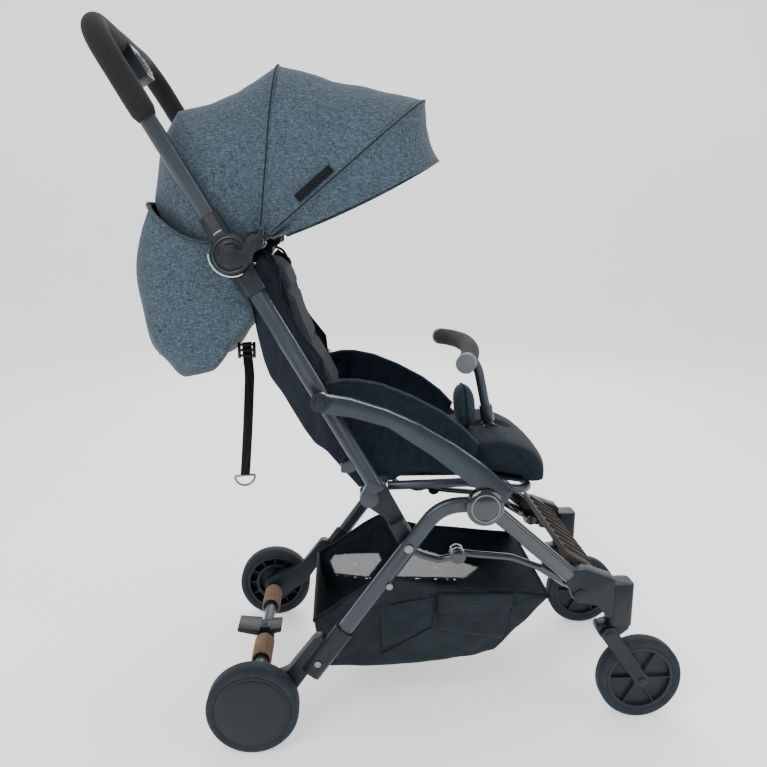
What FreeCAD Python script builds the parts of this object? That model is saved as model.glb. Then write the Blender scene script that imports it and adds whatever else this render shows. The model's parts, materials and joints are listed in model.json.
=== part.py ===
import FreeCAD, Part
import math
import os

from FreeCAD import Vector

# Folding baby stroller. Millimetres, +Z up, +X forward, +Y to the rider's left.
# The origin is on the floor, under the middle of the stroller's length and width.
# Every length named or written as (x, z) is measured forward of the rear axle and up from the floor,
# and REAR_AXLE_X puts the rear axle in its place behind the origin.

# ---- driving dimensions --------------------------------------------------------------------------
REAR_AXLE_X = -236.7
REAR_WHEEL_RADIUS = 70.0
REAR_WHEEL_Y = 212.0
FRONT_WHEEL_RADIUS = 68.4
FRONT_WHEEL = (618.0, 68.4)
FRONT_WHEEL_Y = 153.0

FOLD_HUB = (345.0, 382.0)        # rear leg, front leg and arm bar meet here
BRACKET_PIVOT = (234.0, 316.0)   # lower bracket turns on the rear leg here
KNEE = (176.0, 388.0)            # main tube meets the lower bracket here
ARM_PIVOT = (105.0, 540.0)       # arm bar turns on the main tube here
UPPER_HUB = (-15.0, 745.0)       # push handle turns on the main tube here
CANOPY_PIVOT = (21.0, 760.0)
CRANK_END = (314.0, 287.0)       # crank of the lower bracket meets the front link here
LINK_END = (508.0, 220.0)        # front link meets the front frame here
RECLINE_HINGE = (141.0, 430.0)
BUMPER_HINGE = (389.0, 443.0)
CASTER_AXIS_X = 577.0
FORK_PIVOT = (560.0, 151.0)

TUBE_WIDTH = 24.0                # frame tubes are flat ovals, this wide seen from the side
TUBE_THICK = 15.0
INNER_LAYER = (157.5, 167.5)     # lower bracket and its crank
TUBE_LAYER = (168.0, 183.0)      # main tube, push handle, top of the front leg
LEG_LAYER = (184.5, 199.5)       # rear leg
ARM_LAYER = (184.5, 204.0)       # arm bar
LINK_LAYER = (143.0, 155.0)      # front link
RUNNING_GAP = 0.06
HUB_PIN_RADIUS = 5.0
RIVET_RADIUS = 4.0

MAIN_TUBE_END = (190.0, 399.0)
HANDLE_LENGTH = 354.0            # from the upper hub to the middle of the cross grip
HANDLE_LEAN = 120.8              # degrees from +X
HANDLE_CORNER = 62.0
GRIP_RADIUS = 17.0
UPPER_HUB_RADIUS = 28.0
FOLD_HUB_RADIUS = 28.0

CANOPY_HALF_WIDTH = 155.0
CANOPY_CORNER = 95.0
CANOPY_SKIN = 3.0
# angle in degrees from +X and radius from the canopy pivot of each line across the canopy
CANOPY_HEM = (165.0, 165.0)
CANOPY_BACK_FOLD = (136.0, 207.0)
CANOPY_REAR_EDGE = (123.0, 225.0)
CANOPY_MID_BOW = (84.4, 257.0)
CANOPY_FRONT_BOW = (41.0, 320.0)
CANOPY_VISOR_EDGE = (25.3, 295.0)

Y_AXIS = Vector(0, 1, 0)
TUBE_Y = sum(TUBE_LAYER) / 2
LEG_Y = sum(LEG_LAYER) / 2


# ---- helpers -------------------------------------------------------------------------------------
def at(x, y, z):
    """A point, with x measured forward of the rear axle."""
    return Vector(x + REAR_AXLE_X, y, z)


def rounded_edges(points, radius, closed):
    """Straight edges through the points with each corner rounded to the radius."""
    count = len(points)
    inner = range(count) if closed else range(1, count - 1)
    starts, ends, arcs = {}, {}, {}
    for i in inner:
        here, before, after = points[i], points[i - 1], points[(i + 1) % count]
        back = (before - here).normalize()
        ahead = (after - here).normalize()
        turn = math.pi - back.getAngle(ahead)
        if radius <= 0 or turn < 0.02:
            starts[i] = ends[i] = here
            continue
        setback = radius * math.tan(turn / 2)
        room = 0.48 * min((before - here).Length, (after - here).Length)
        setback = min(setback, room)
        bend = setback / math.tan(turn / 2)
        first = here + back * setback
        last = here + ahead * setback
        bisector = (back + ahead).normalize()
        middle = here + bisector * (bend / math.cos(turn / 2) - bend)
        starts[i], ends[i] = first, last
        arcs[i] = Part.Arc(first, middle, last).toShape()
    edges = []
    for i in range(count if closed else count - 1):
        j = (i + 1) % count
        a = ends.get(i, points[i])
        b = starts.get(j, points[j])
        if (b - a).Length > 1e-4:
            edges.append(Part.LineSegment(a, b).toShape())
        if j in arcs:
            edges.append(arcs[j])
    return edges


def prism(outline, low, high, radius=0.0):
    """An (x, z) outline with rounded corners, as thick as y from low to high."""
    points = [at(x, low, z) for x, z in outline]
    wire = Part.Wire(Part.__sortEdges__(rounded_edges(points, radius, True)))
    return Part.Face(wire).extrude(Vector(0, high - low, 0))


def disc(centre, radius, low, high):
    """A cylinder along Y about an (x, z) centre."""
    return Part.makeCylinder(radius, high - low, at(centre[0], low, centre[1]), Y_AXIS)


def ring(centre, outer, inner, low, high):
    return disc(centre, outer, low, high).cut(disc(centre, inner, low - 1, high + 1))


def cone(centre, low_radius, high_radius, low, high):
    return Part.makeCone(low_radius, high_radius, high - low, at(centre[0], low, centre[1]), Y_AXIS)


def stadium(centre, long_axis, short_axis, half_long, half_short):
    """A closed oval with flat sides, about a point."""
    flat = half_long - half_short
    a, b = long_axis, short_axis
    signs = ((1, 1), (1, -1), (-1, -1), (-1, 1))
    corner = [centre + a * (flat * i) + b * (half_short * j) for i, j in signs]
    return Part.Wire([
        Part.LineSegment(corner[3], corner[0]).toShape(),
        Part.Arc(corner[0], centre + a * half_long, corner[1]).toShape(),
        Part.LineSegment(corner[1], corner[2]).toShape(),
        Part.Arc(corner[2], centre - a * half_long, corner[3]).toShape(),
    ])


def sweep(points, bend, half_long, half_short=None, short_axis=Y_AXIS):
    """A tube along a path with rounded bends: round, or a flat oval whose short side is along short_axis."""
    path = Part.Wire(rounded_edges(points, bend, False))
    along = (points[1] - points[0]).normalize()
    if half_short is None:
        profile = Part.Wire(Part.makeCircle(half_long, points[0], along))
    else:
        profile = stadium(points[0], along.cross(short_axis).normalize(), short_axis, half_long, half_short)
    return path.makePipeShell([profile], True, False)


def joined(first, *others):
    return first.fuse(list(others)).removeSplitter()


def mirrored(shape):
    return shape.mirror(Vector(0, 0, 0), Y_AXIS)


def pair(shape):
    """The piece on the left, and its mirror image on the right."""
    return [shape, mirrored(shape)]


def polar(centre, degrees, distance):
    a = math.radians(degrees)
    return (centre[0] + distance * math.cos(a), centre[1] + distance * math.sin(a))


def heading(start, end):
    return math.degrees(math.atan2(end[1] - start[1], end[0] - start[0]))


def save(name, *shapes):
    solids = [s for shape in shapes for s in shape.Solids]
    Part.makeCompound(solids).exportStep("parts/" + name + ".step")
    box = Part.makeCompound(solids).BoundBox
    good = all(s.isValid() for s in solids)
    print(f"{name:22s} {len(solids)} valid={good} x {box.XMin:7.1f} {box.XMax:7.1f}"
          f" y {box.YMin:7.1f} {box.YMax:7.1f} z {box.ZMin:7.1f} {box.ZMax:7.1f}")


# ---- rear frame ----------------------------------------------------------------------------------
REAR_LEG_ELBOW = (281.0, 380.0)
REAR_LEG_FOOT = (128.0, 168.0)
REAR_LEG_RIVET = (206.0, 256.0)
FOOT_RIVET = (98.0, 132.0)


def rear_leg():
    corners = [FOLD_HUB, REAR_LEG_ELBOW, REAR_LEG_FOOT]
    tube = sweep([at(x, LEG_Y, z) for x, z in corners], 60.0, TUBE_WIDTH / 2, TUBE_THICK / 2)
    leg = joined(tube, disc(FOLD_HUB, 24.0, *LEG_LAYER))
    for centre, radius in ((FOLD_HUB, HUB_PIN_RADIUS), (BRACKET_PIVOT, RIVET_RADIUS),
                           (REAR_LEG_RIVET, 3.0)):
        leg = leg.cut(disc(centre, radius, LEG_LAYER[0] - 1, LEG_LAYER[1] + 1))
    return leg


def rear_bracket(leg):
    """Socket round the foot of the rear leg, with an arm that carries the axle."""
    foot = at(REAR_LEG_FOOT[0], LEG_Y, REAR_LEG_FOOT[1])
    elbow = at(REAR_LEG_ELBOW[0], LEG_Y, REAR_LEG_ELBOW[1])
    along = (foot - elbow).normalize()
    socket = sweep([foot - along * 18, foot + along * 70], 0, 15.5, 9.5)
    outline = [(118, 160), (86, 116), (64, 84), (14, 50), (-16, 52), (-20, 84), (0, 96), (52, 116),
               (98, 176)]
    arm = prism(outline, 174.5, 193.0, 14.0)
    bracket = joined(socket, arm)
    bracket = bracket.cut(disc((0, REAR_WHEEL_RADIUS), REAR_WHEEL_RADIUS + 4, 193.5, 210))
    bracket = bracket.cut(leg)
    bracket = bracket.cut(disc((0, REAR_WHEEL_RADIUS), HUB_PIN_RADIUS, 170, 200))
    return bracket.cut(disc(FOOT_RIVET, 3.0, 170, 210))


def leg_rivets():
    pivot = joined(disc(BRACKET_PIVOT, RIVET_RADIUS, INNER_LAYER[0] - 2.5, LEG_LAYER[1]),
                   disc(BRACKET_PIVOT, 6.5, LEG_LAYER[1], LEG_LAYER[1] + 2.5),
                   disc(BRACKET_PIVOT, 7.0, INNER_LAYER[0] - 2.5, INNER_LAYER[0] - 0.4))
    low = joined(disc(REAR_LEG_RIVET, 3.0, LEG_LAYER[0], LEG_LAYER[1]),
                 disc(REAR_LEG_RIVET, 5.0, LEG_LAYER[1], LEG_LAYER[1] + 2.0))
    foot = joined(disc(FOOT_RIVET, 3.0, 175.0, 201.5), disc(FOOT_RIVET, 5.0, 201.5, 203.5))
    return pair(pivot) + pair(low) + pair(foot)


def axle_tube():
    """Tube between the two rear brackets, with a slot in its top for the pedal's pin."""
    centre = (0.0, REAR_WHEEL_RADIUS)
    tube = ring(centre, 10.0, 7.0, -174.5, 174.5)
    slot = Part.makeBox(12, 12, 12, at(-6, -6, REAR_WHEEL_RADIUS + 3))
    return tube.cut(slot)


def axle_sleeve(low, high):
    """Loose sleeve over the axle tube, held clear of it by an inner bush near each end."""
    centre = (0.0, REAR_WHEEL_RADIUS)
    sleeve = ring(centre, 17.0, 14.0, low, high)
    bushes = [ring(centre, 14.5, 10.0, start, start + 6.0) for start in (low + 8.0, high - 14.0)]
    return joined(sleeve, *bushes)


def wheel_axle_pin():
    centre = (0.0, REAR_WHEEL_RADIUS)
    pin = disc(centre, HUB_PIN_RADIUS, 174.5, 225.0)
    return joined(pin, disc(centre, 9.0, 193.0, 195.5))


def fold_hub_pin():
    """Pin through front leg, rear leg and arm bar, with the round cover as its head."""
    pin = disc(FOLD_HUB, HUB_PIN_RADIUS, 165.5, 206.0)
    head = joined(disc(FOLD_HUB, FOLD_HUB_RADIUS, 204.6, 210.0),
                  cone(FOLD_HUB, FOLD_HUB_RADIUS, FOLD_HUB_RADIUS - 5.0, 210.0, 213.0))
    return joined(pin, head, disc(FOLD_HUB, 9.0, 165.0, 167.4))


BASKET_OUTLINE = [
    (106, 84), (175, 83), (310, 91), (388, 107), (428, 150), (474, 199),
    (414, 208), (310, 218), (206, 242), (88, 166),
]
BASKET_SKIN = 3.0
BASKET_HALF_WIDTH = 130.0


def basket():
    """Open tray of cloth: a floor, two sides, a rear wall and a sloping front."""
    outer = prism(BASKET_OUTLINE, -BASKET_HALF_WIDTH, BASKET_HALF_WIDTH, 8.0)
    hollow = [
        (110, 87), (175, 86), (309, 94), (386, 110), (426, 152.5), (470, 202),
        (470, 280), (84, 280), (92, 166),
    ]
    inside = BASKET_HALF_WIDTH - BASKET_SKIN
    return outer.cut(prism(hollow, -inside, inside, 6.0))


# ---- brake ---------------------------------------------------------------------------------------
def brake_pedal():
    centre = (0.0, REAR_WHEEL_RADIUS)
    hub = ring(centre, 15.0, 10.0 + RUNNING_GAP, -14, 14)
    rear = prism([(-8, 79), (-47, 88), (-48, 94), (-8, 90)], -24, 24, 2.0)
    front = prism([(8, 79), (28, 84), (29, 91), (8, 90)], -20, 20, 2.0)
    middle = prism([(-9, 80.5), (9, 80.5), (9, 90), (-9, 90)], -14, 14)
    pin = Part.makeCylinder(3.0, 16.0, at(0, 0, REAR_WHEEL_RADIUS + 5.0))
    plate = joined(hub, rear, front, middle)
    return joined(plate.cut(disc(centre, 10.0 + RUNNING_GAP, -30, 30)), pin)


def brake_rod():
    centre = (0.0, REAR_WHEEL_RADIUS)
    return disc(centre, 5.0, -172.0, 172.0)


# ---- wheels --------------------------------------------------------------------------------------
def tyre(centre, y, radius, bore, half_width, shoulder):
    profile = [
        (bore, -half_width + 2), (radius - shoulder, -half_width),
        (radius - shoulder / 3, -half_width + shoulder / 3),
        (radius, -half_width + shoulder), (radius, half_width - shoulder),
        (radius - shoulder / 3, half_width - shoulder / 3), (radius - shoulder, half_width),
        (bore, half_width - 2),
    ]
    points = [at(centre[0], y + side, centre[1] + r) for r, side in profile]
    face = Part.Face(Part.makePolygon(points + points[:1]))
    return face.revolve(at(centre[0], 0, centre[1]), Y_AXIS, 360)


def rear_tyre():
    return tyre((0, REAR_WHEEL_RADIUS), REAR_WHEEL_Y, REAR_WHEEL_RADIUS, 57.0, 16.0, 6.0)


def rear_rim():
    """Rim with a flat cover outside, and ribs and a toothed brake ring inside."""
    centre = (0.0, REAR_WHEEL_RADIUS)
    rim = ring(centre, 57.0, 51.0, 199.0, 226.5)
    cover = disc(centre, 51.5, 221.5, 227.5)
    hub = disc(centre, 13.0, 197.0, 222.0)
    teeth_ring = ring(centre, 38.0, 33.5, 201.0, 222.0)
    pieces = [rim, cover, hub, teeth_ring]
    for i in range(12):
        rib = Part.makeBox(15.0, 15.0, 2.4, Vector(37.0, 204.0, -1.2))
        rib.rotate(Vector(0, 0, 0), Y_AXIS, 30.0 * i)
        rib.translate(at(0, 0, REAR_WHEEL_RADIUS))
        pieces.append(rib)
    for i in range(30):
        tooth = Part.makeBox(2.8, 12.0, 2.6, Vector(31.4, 201.0, -1.3))
        tooth.rotate(Vector(0, 0, 0), Y_AXIS, 12.0 * i)
        tooth.translate(at(0, 0, REAR_WHEEL_RADIUS))
        pieces.append(tooth)
    wheel = joined(*pieces)
    return wheel.cut(disc(centre, HUB_PIN_RADIUS + RUNNING_GAP, 190.0, 225.2))


def front_tyre():
    return tyre(FRONT_WHEEL, FRONT_WHEEL_Y, FRONT_WHEEL_RADIUS, 55.0, 13.0, 5.0)


def front_rim():
    y = FRONT_WHEEL_Y
    rim = ring(FRONT_WHEEL, 55.0, 49.0, y - 11, y + 11)
    web = disc(FRONT_WHEEL, 49.5, y - 3, y + 3)
    hub = disc(FRONT_WHEEL, 12.0, y - 13.5, y + 13.5)
    pieces = [rim, web, hub]
    for i in range(6):
        rib = Part.makeBox(40.0, 18.0, 3.0, Vector(11.0, y - 9.0, -1.5))
        rib.rotate(Vector(0, 0, 0), Y_AXIS, 60.0 * i)
        rib.translate(at(FRONT_WHEEL[0], 0, FRONT_WHEEL[1]))
        pieces.append(rib)
    return joined(*pieces).cut(disc(FRONT_WHEEL, HUB_PIN_RADIUS - 1 + RUNNING_GAP, y - 20, y + 20))


# ---- lower brackets, with the crank that works the front link ------------------------------------
def lower_bracket():
    pivot, knee = BRACKET_PIVOT, KNEE
    lean = heading(pivot, (184.0, 408.0))
    side = lean - 90.0
    outline = [
        polar(polar(pivot, lean, -13), side, 13), polar(polar(pivot, lean, 100), side, 13),
        polar(polar(pivot, lean, 108), side, -13), polar(knee, 150.0, 16),
        polar(knee, 225.0, 16), polar(polar(pivot, lean, 48), side, -13), polar(polar(pivot, lean, -13), side, -13),
    ]
    plate = prism(outline, *INNER_LAYER, 6.0)
    boss = disc(pivot, 12.5, INNER_LAYER[1], TUBE_LAYER[1])
    block = prism([polar(polar(pivot, lean, t), side, w) for t, w in ((0, 12), (38, 12), (38, -12),
                                                                      (0, -12))],
                  INNER_LAYER[1], TUBE_LAYER[1], 3.0)
    bracket = joined(plate, boss, block)
    return bracket.cut(disc(pivot, RIVET_RADIUS + RUNNING_GAP, 150, 190))


CRANK_ROUTE = [(240.0, 297.0), (260.0, 288.0), (284.0, 281.0), (303.0, 285.0)]


def crank_tube(bracket):
    y = sum(INNER_LAYER) / 2
    tube = sweep([at(x, y, z) for x, z in [(236.0, 306.0)] + CRANK_ROUTE], 16.0, 5.0)
    eye = disc(CRANK_END, 12.0, *INNER_LAYER)
    cap = disc(CRANK_END, 9.5, INNER_LAYER[1], INNER_LAYER[1] + 4.0)
    return joined(tube, eye, cap).cut(bracket)


# ---- front links ---------------------------------------------------------------------------------
LINK_ROUTE = [CRANK_END, (340.0, 283.0), (400.0, 277.0), (452.0, 257.0), LINK_END]


def front_link():
    y = sum(LINK_LAYER) / 2
    tube = sweep([at(x, y, z) for x, z in LINK_ROUTE], 60.0, 5.5)
    rear_eye = disc(CRANK_END, 11.5, *LINK_LAYER)
    front_eye = disc(LINK_END, 10.0, *LINK_LAYER)
    ferrule = sweep([at(447.0, y, 260.5), at(490.0, y, 233.0)], 0, 7.5, 6.0)
    link = joined(tube, rear_eye, front_eye, ferrule)
    return link.cut(disc(LINK_END, RIVET_RADIUS + RUNNING_GAP, 130, 160))


# ---- front frame ---------------------------------------------------------------------------------
FRONT_LEG_FOOT = (505.0, 240.0)
FRONT_LEG_FOOT_Y = 163.5
HOUSING_HALF = 18.0
HOUSING_BASE = 166.0
HOUSING_TOP = 236.0


def front_leg():
    top = at(FOLD_HUB[0], TUBE_Y, FOLD_HUB[1])
    foot = at(FRONT_LEG_FOOT[0], FRONT_LEG_FOOT_Y, FRONT_LEG_FOOT[1])
    tube = sweep([top, foot], 0, 13.0, TUBE_THICK / 2)
    inside = Part.makeBox(400, 40, 400, at(200, TUBE_LAYER[0], 100))
    eye = disc(FOLD_HUB, 17.0, *TUBE_LAYER)
    leg = joined(tube.common(inside.fuse(Part.makeBox(400, 60, 400, at(366, 130, 40)))), eye)
    return leg.cut(disc(FOLD_HUB, HUB_PIN_RADIUS + RUNNING_GAP, 150, 200))


def caster_housing(leg):
    """Casting at the foot of the front leg: socket, link lug and pin, and the upright caster housing."""
    y = FRONT_WHEEL_Y
    outline = [(491, 262), (514, 264), (562, 246), (562, 172), (536, 203), (512, 208), (484, 240)]
    block = prism(outline, 144.0, 172.0, 6.0)
    corners = [at(CASTER_AXIS_X + i * HOUSING_HALF, y + j * HOUSING_HALF, HOUSING_BASE)
               for i, j in ((-1, -1), (1, -1), (1, 1), (-1, 1))]
    footprint = Part.Face(Part.Wire(Part.__sortEdges__(rounded_edges(corners, 7.0, True))))
    post = footprint.extrude(Vector(0, 0, HOUSING_TOP - HOUSING_BASE))
    lug = prism([(496, 238), (494, 222), (500, 209), (516, 209), (524, 222),
                 (524, 238)], 155.5, 168.0, 4.0)
    boss = disc(LINK_END, 11.0, 160.0, 175.0)
    link_room = prism([(526, 232), (526, 196), (470, 196), (470, 290), (488, 270),
                       (516, 238)], 140.0, 155.5)
    casting = joined(block.cut(link_room), post, lug, boss)
    casting = casting.cut(leg)
    casting = joined(casting, disc(LINK_END, RIVET_RADIUS, LINK_LAYER[0] - 0.5, 160.0))
    bore = Part.makeCylinder(8.0 + RUNNING_GAP, 60.0, at(CASTER_AXIS_X, y, HOUSING_BASE - 1))
    return max(casting.cut(bore).Solids, key=lambda s: s.Volume)


def footrest():
    """Ribbed board between the two castings."""
    board = prism([(488, 271), (530, 243), (563, 205), (571, 210), (538, 251),
                   (493, 280)], -134.5, 134.5, 3.0)
    shoulder = prism([(488, 271), (524, 247), (532, 256), (493, 280)], -144.0, 144.0, 3.0)
    ribs = []
    for i in range(9):
        y = -112.0 + 28.0 * i
        ribs.append(prism([(494, 278), (538, 249.5), (570, 211), (572, 213), (541, 253),
                           (496, 283)], y - 2, y + 2))
    return joined(board, shoulder, *ribs)


# ---- casters and forks ---------------------------------------------------------------------------
def caster_yoke():
    y = FRONT_WHEEL_Y
    outline = [(542, 164.5), (592, 164.5), (592, 158), (577, 146), (568, 139), (556, 138),
               (546, 146), (541, 156)]
    block = prism(outline, y - 12, y + 12, 4.0)
    stem = Part.makeCylinder(8.0, 62.0, at(CASTER_AXIS_X, y, 160.0))
    collar = Part.makeCylinder(14.0, 1.0, at(CASTER_AXIS_X, y, 164.5))
    yoke = joined(block, collar, stem)
    return yoke.cut(disc(FORK_PIVOT, RIVET_RADIUS + RUNNING_GAP, y - 20, y + 20))


def fork_plate(low, high):
    pivot_end, wheel_end = FORK_PIVOT, FRONT_WHEEL
    lean = heading(pivot_end, wheel_end)
    outline = [
        polar(pivot_end, lean + 180, 13), polar(polar(pivot_end, lean + 90, 13), lean + 180, 8),
        polar(pivot_end, lean + 90, 13), polar(wheel_end, lean + 90, 10),
        polar(polar(wheel_end, lean + 90, 6), lean, 9), polar(polar(wheel_end, lean - 90, 6), lean, 9),
        polar(wheel_end, lean - 90, 10), polar(pivot_end, lean - 90, 13),
        polar(polar(pivot_end, lean - 90, 13), lean + 180, 8),
    ]
    return prism(outline, low, high, 6.0)


def front_fork():
    y = FRONT_WHEEL_Y
    plates = [fork_plate(y - 19.0, y - 14.5), fork_plate(y + 14.5, y + 19.0)]
    bridge = disc((572.0, 133.5), 5.0, y - 15.0, y + 15.0)
    pivot = disc(FORK_PIVOT, RIVET_RADIUS, y - 20.5, y + 20.5)
    heads = [disc(FORK_PIVOT, 6.5, y - 21.0, y - 19.0), disc(FORK_PIVOT, 6.5, y + 19.0, y + 21.0)]
    axle = disc(FRONT_WHEEL, HUB_PIN_RADIUS - 1, y - 20.5, y + 20.5)
    ends = [disc(FRONT_WHEEL, 6.5, y - 21.0, y - 19.0), disc(FRONT_WHEEL, 6.5, y + 19.0, y + 21.0)]
    return joined(*plates, bridge, pivot, axle, *heads, *ends)


# ---- seat, on the arm bars -----------------------------------------------------------------------
ARM_TOP = [(105, 550), (150, 543), (200, 527), (250, 504), (299, 475), (347, 440), (386, 406)]
ARM_BOTTOM = [(377, 386), (352, 396), (322, 416), (267, 459), (202, 503), (150, 518), (105, 524)]


def arm_bar():
    outline = ARM_TOP + ARM_BOTTOM
    bar = prism(outline, *ARM_LAYER, 3.0)
    pivot_eye = disc(ARM_PIVOT, 13.0, *ARM_LAYER)
    bar = joined(bar, pivot_eye).cut(disc(FOLD_HUB, 33.0, 180.0, 200.2))
    lug = joined(disc(FOLD_HUB, 17.0, 200.2, ARM_LAYER[1]),
                 prism([(330, 384), (362, 378), (374, 404), (336, 430)], 200.2, ARM_LAYER[1]))
    bar = joined(bar, lug)
    bar = bar.cut(disc(FOLD_HUB, HUB_PIN_RADIUS + RUNNING_GAP, 190, 220))
    return bar.cut(disc(ARM_PIVOT, RIVET_RADIUS + RUNNING_GAP, 180, 220))


SEAT_TUBE_Y = 134.0
SEAT_TUBE_RADIUS = 7.0


def seat_frame_tube():
    corners = [(206.0, -SEAT_TUBE_Y, 392.0), (330.0, -SEAT_TUBE_Y, 396.0), (432.0, -SEAT_TUBE_Y, 380.0)]
    points = [at(*c) for c in corners]
    points += [at(c[0], -c[1], c[2]) for c in reversed(corners)]
    return sweep(points, 36.0, SEAT_TUBE_RADIUS)


def seat_base():
    """Board under the cushion."""
    return prism([(160, 404), (330, 404.5), (424, 391), (424.5, 394), (330, 407.5),
                  (160, 407)], -126.0, 126.0)


def seat_cushion():
    outline = [
        (157, 408), (330, 408.5), (426, 395), (438, 372), (462, 372), (476, 384), (462, 418),
        (440, 444), (400, 454), (330, 444), (200, 438), (157, 446),
    ]
    pad = prism(outline, -124.0, 124.0, 9.0)
    front_tube = prism([(415, 365), (444, 365), (444, 391), (415, 391)], -125.0, 125.0, 3.0)
    socket_well = Part.makeBox(56, 36, 90, at(360, -18, 400))
    return pad.cut(front_tube).cut(socket_well)


SIDE_OUTLINE = [
    (114, 557), (160, 558), (200, 550), (243, 533), (287, 505), (320, 480), (346, 455), (342, 430),
    (318, 412),
    (275, 417), (210, 409), (172, 414), (128, 475), (108, 530),
]


def seat_side():
    """Cloth wall between the arm bar and the cushion, with its raised wing."""
    return prism(SIDE_OUTLINE, 135.0, 140.5, 12.0)


def bumper_socket():
    x, z = BUMPER_HINGE
    base = prism([(x - 18, 408), (x + 14, 404), (x + 14, 424), (x - 18, 424)], -14.0, 14.0, 3.0)
    ears = []
    for low in (-14.0, 9.5):
        ears.append(joined(disc(BUMPER_HINGE, 15.0, low, low + 4.5),
                           prism([(x - 14, 415), (x + 13, 415), (x + 14, z),
                                  (x - 14, z)], low, low + 4.5)))
    pin = disc(BUMPER_HINGE, 4.0, -15.5, 15.5)
    return joined(base, *ears, pin)


def crotch_pad():
    pad = Part.makeSphere(1.0)
    stretch = FreeCAD.Matrix()
    stretch.scale(15.0, 34.0, 37.5)
    pad = pad.transformGeometry(stretch)
    pad.rotate(Vector(0, 0, 0), Y_AXIS, 6.0)
    pad.translate(at(344.0, 0, 486.5))
    return pad


# ---- bumper bar ----------------------------------------------------------------------------------
GRIP_MIDDLE = (345.0, 592.0)
GRIP_END = (323.0, 586.0)
GRIP_HALF_LENGTH = 139.0
CAP_LENGTH = 12.0
BUMPER_GRIP_RADIUS = 14.0


def grip_arc(half_length, radius):
    """Round bar along a shallow bow across the stroller."""
    share = (half_length / GRIP_HALF_LENGTH) ** 2
    end_x = GRIP_MIDDLE[0] + (GRIP_END[0] - GRIP_MIDDLE[0]) * share
    end_z = GRIP_MIDDLE[1] + (GRIP_END[1] - GRIP_MIDDLE[1]) * share
    first = at(end_x, -half_length, end_z)
    middle = at(GRIP_MIDDLE[0], 0, GRIP_MIDDLE[1])
    last = at(end_x, half_length, end_z)
    edge = Part.Arc(first, middle, last).toShape()
    tangent = edge.tangentAt(edge.FirstParameter)
    profile = Part.Wire(Part.makeCircle(radius, first, tangent))
    return Part.Wire([edge]).makePipeShell([profile], True, False)


def bumper_grip():
    return grip_arc(GRIP_HALF_LENGTH, BUMPER_GRIP_RADIUS)


def bumper_end_caps(grip):
    longer = grip_arc(GRIP_HALF_LENGTH + CAP_LENGTH, BUMPER_GRIP_RADIUS + 0.8)
    side = Part.makeBox(200, 40, 200, at(250, GRIP_HALF_LENGTH - 1, 500))
    cap = longer.common(side).cut(grip)
    return pair(max(cap.Solids, key=lambda s: s.Volume))


def bumper_post(grip):
    route = [BUMPER_HINGE, (381.0, 484.0), (367.0, 548.0), (346.0, 586.0)]
    post = sweep([at(x, 0, z) for x, z in route], 60.0, 8.0)
    collar = sweep([at(BUMPER_HINGE[0] - 2, 0, BUMPER_HINGE[1] + 12), at(380.5, 0, 488.0)], 0, 11.0)
    eye = disc(BUMPER_HINGE, 14.0, -9.0, 9.0)
    sides = Part.makeBox(80, 18.6, 48, at(350, -9.3, 420))
    collar_low = collar.common(Part.makeBox(80, 60, 60, at(350, -30, 461)))
    post = joined(post.common(sides.fuse(Part.makeBox(120, 60, 160, at(300, -30, 460)))), collar_low, eye)
    post = post.cut(grip)
    post = post.cut(disc(BUMPER_HINGE, 4.0 + RUNNING_GAP, -20, 20))
    return max(post.Solids, key=lambda s: s.Volume)


# ---- upper frame: main tubes, upper hubs, rear of the canopy -------------------------------------
def main_tube():
    lean = heading(UPPER_HUB, MAIN_TUBE_END)
    start = polar(UPPER_HUB, lean, 34.0)
    tube = sweep([at(start[0], TUBE_Y, start[1]), at(MAIN_TUBE_END[0], TUBE_Y, MAIN_TUBE_END[1])],
                 0, TUBE_WIDTH / 2, TUBE_THICK / 2)
    ear = disc(KNEE, 14.0, TUBE_LAYER[0], TUBE_LAYER[1] + 0.6)
    plate_outline = [polar(KNEE, 140.0, 14), (176.0, 417.0), polar(MAIN_TUBE_END, lean + 90, 13.5),
                     polar(MAIN_TUBE_END, lean - 90, 13.5), polar(KNEE, 235.0, 14)]
    plate = prism(plate_outline, TUBE_LAYER[0], TUBE_LAYER[1] + 0.6, 4.0)
    tube = joined(tube, ear, plate)
    return tube.cut(disc(ARM_PIVOT, RIVET_RADIUS, 160, 190))


def upper_hub_base():
    """Half of the upper hub that stays on the main tube, with the canopy's bracket and pivot pin."""
    lean = heading(UPPER_HUB, MAIN_TUBE_END)
    plate = disc(UPPER_HUB, UPPER_HUB_RADIUS - 0.5, 164.0, 176.8)
    near, far = polar(UPPER_HUB, lean, 16.0), polar(UPPER_HUB, lean, 62.0)
    sleeve = sweep([at(near[0], TUBE_Y, near[1]), at(far[0], TUBE_Y, far[1])], 0, 15.0, 9.6)
    sleeve = sleeve.cut(disc(UPPER_HUB, UPPER_HUB_RADIUS + 0.8, 176.8, 200.0))
    bracket = prism([polar(UPPER_HUB, 95, 14), polar(CANOPY_PIVOT, 110, 9), polar(CANOPY_PIVOT, 20, 9),
                     polar(CANOPY_PIVOT, -70, 9), polar(UPPER_HUB, -20, 14)], 160.0, 165.0, 4.0)
    pivot = disc(CANOPY_PIVOT, 3.0, 140.0, 161.0)
    pin = disc(UPPER_HUB, 6.0, 176.0, 198.0)
    arm_outline = [(-27, 757), (-31, 742), (-22, 730), (-4, 727), (10, 735), (20, 752), (31, 757),
                   (30, 772),
                   (14, 773), (6, 762), (-2, 747), (-10, 758)]
    arm = joined(prism(arm_outline, 194.0, 199.0, 5.0), disc(UPPER_HUB, 9.0, 199.0, 200.5))
    post = disc(CANOPY_PIVOT, 5.0, 164.0, 195.0)
    rivet = cone(CANOPY_PIVOT, 5.0, 3.5, 199.0, 201.0)
    return joined(plate, sleeve, bracket, pivot, pin, arm, post, rivet)


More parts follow.
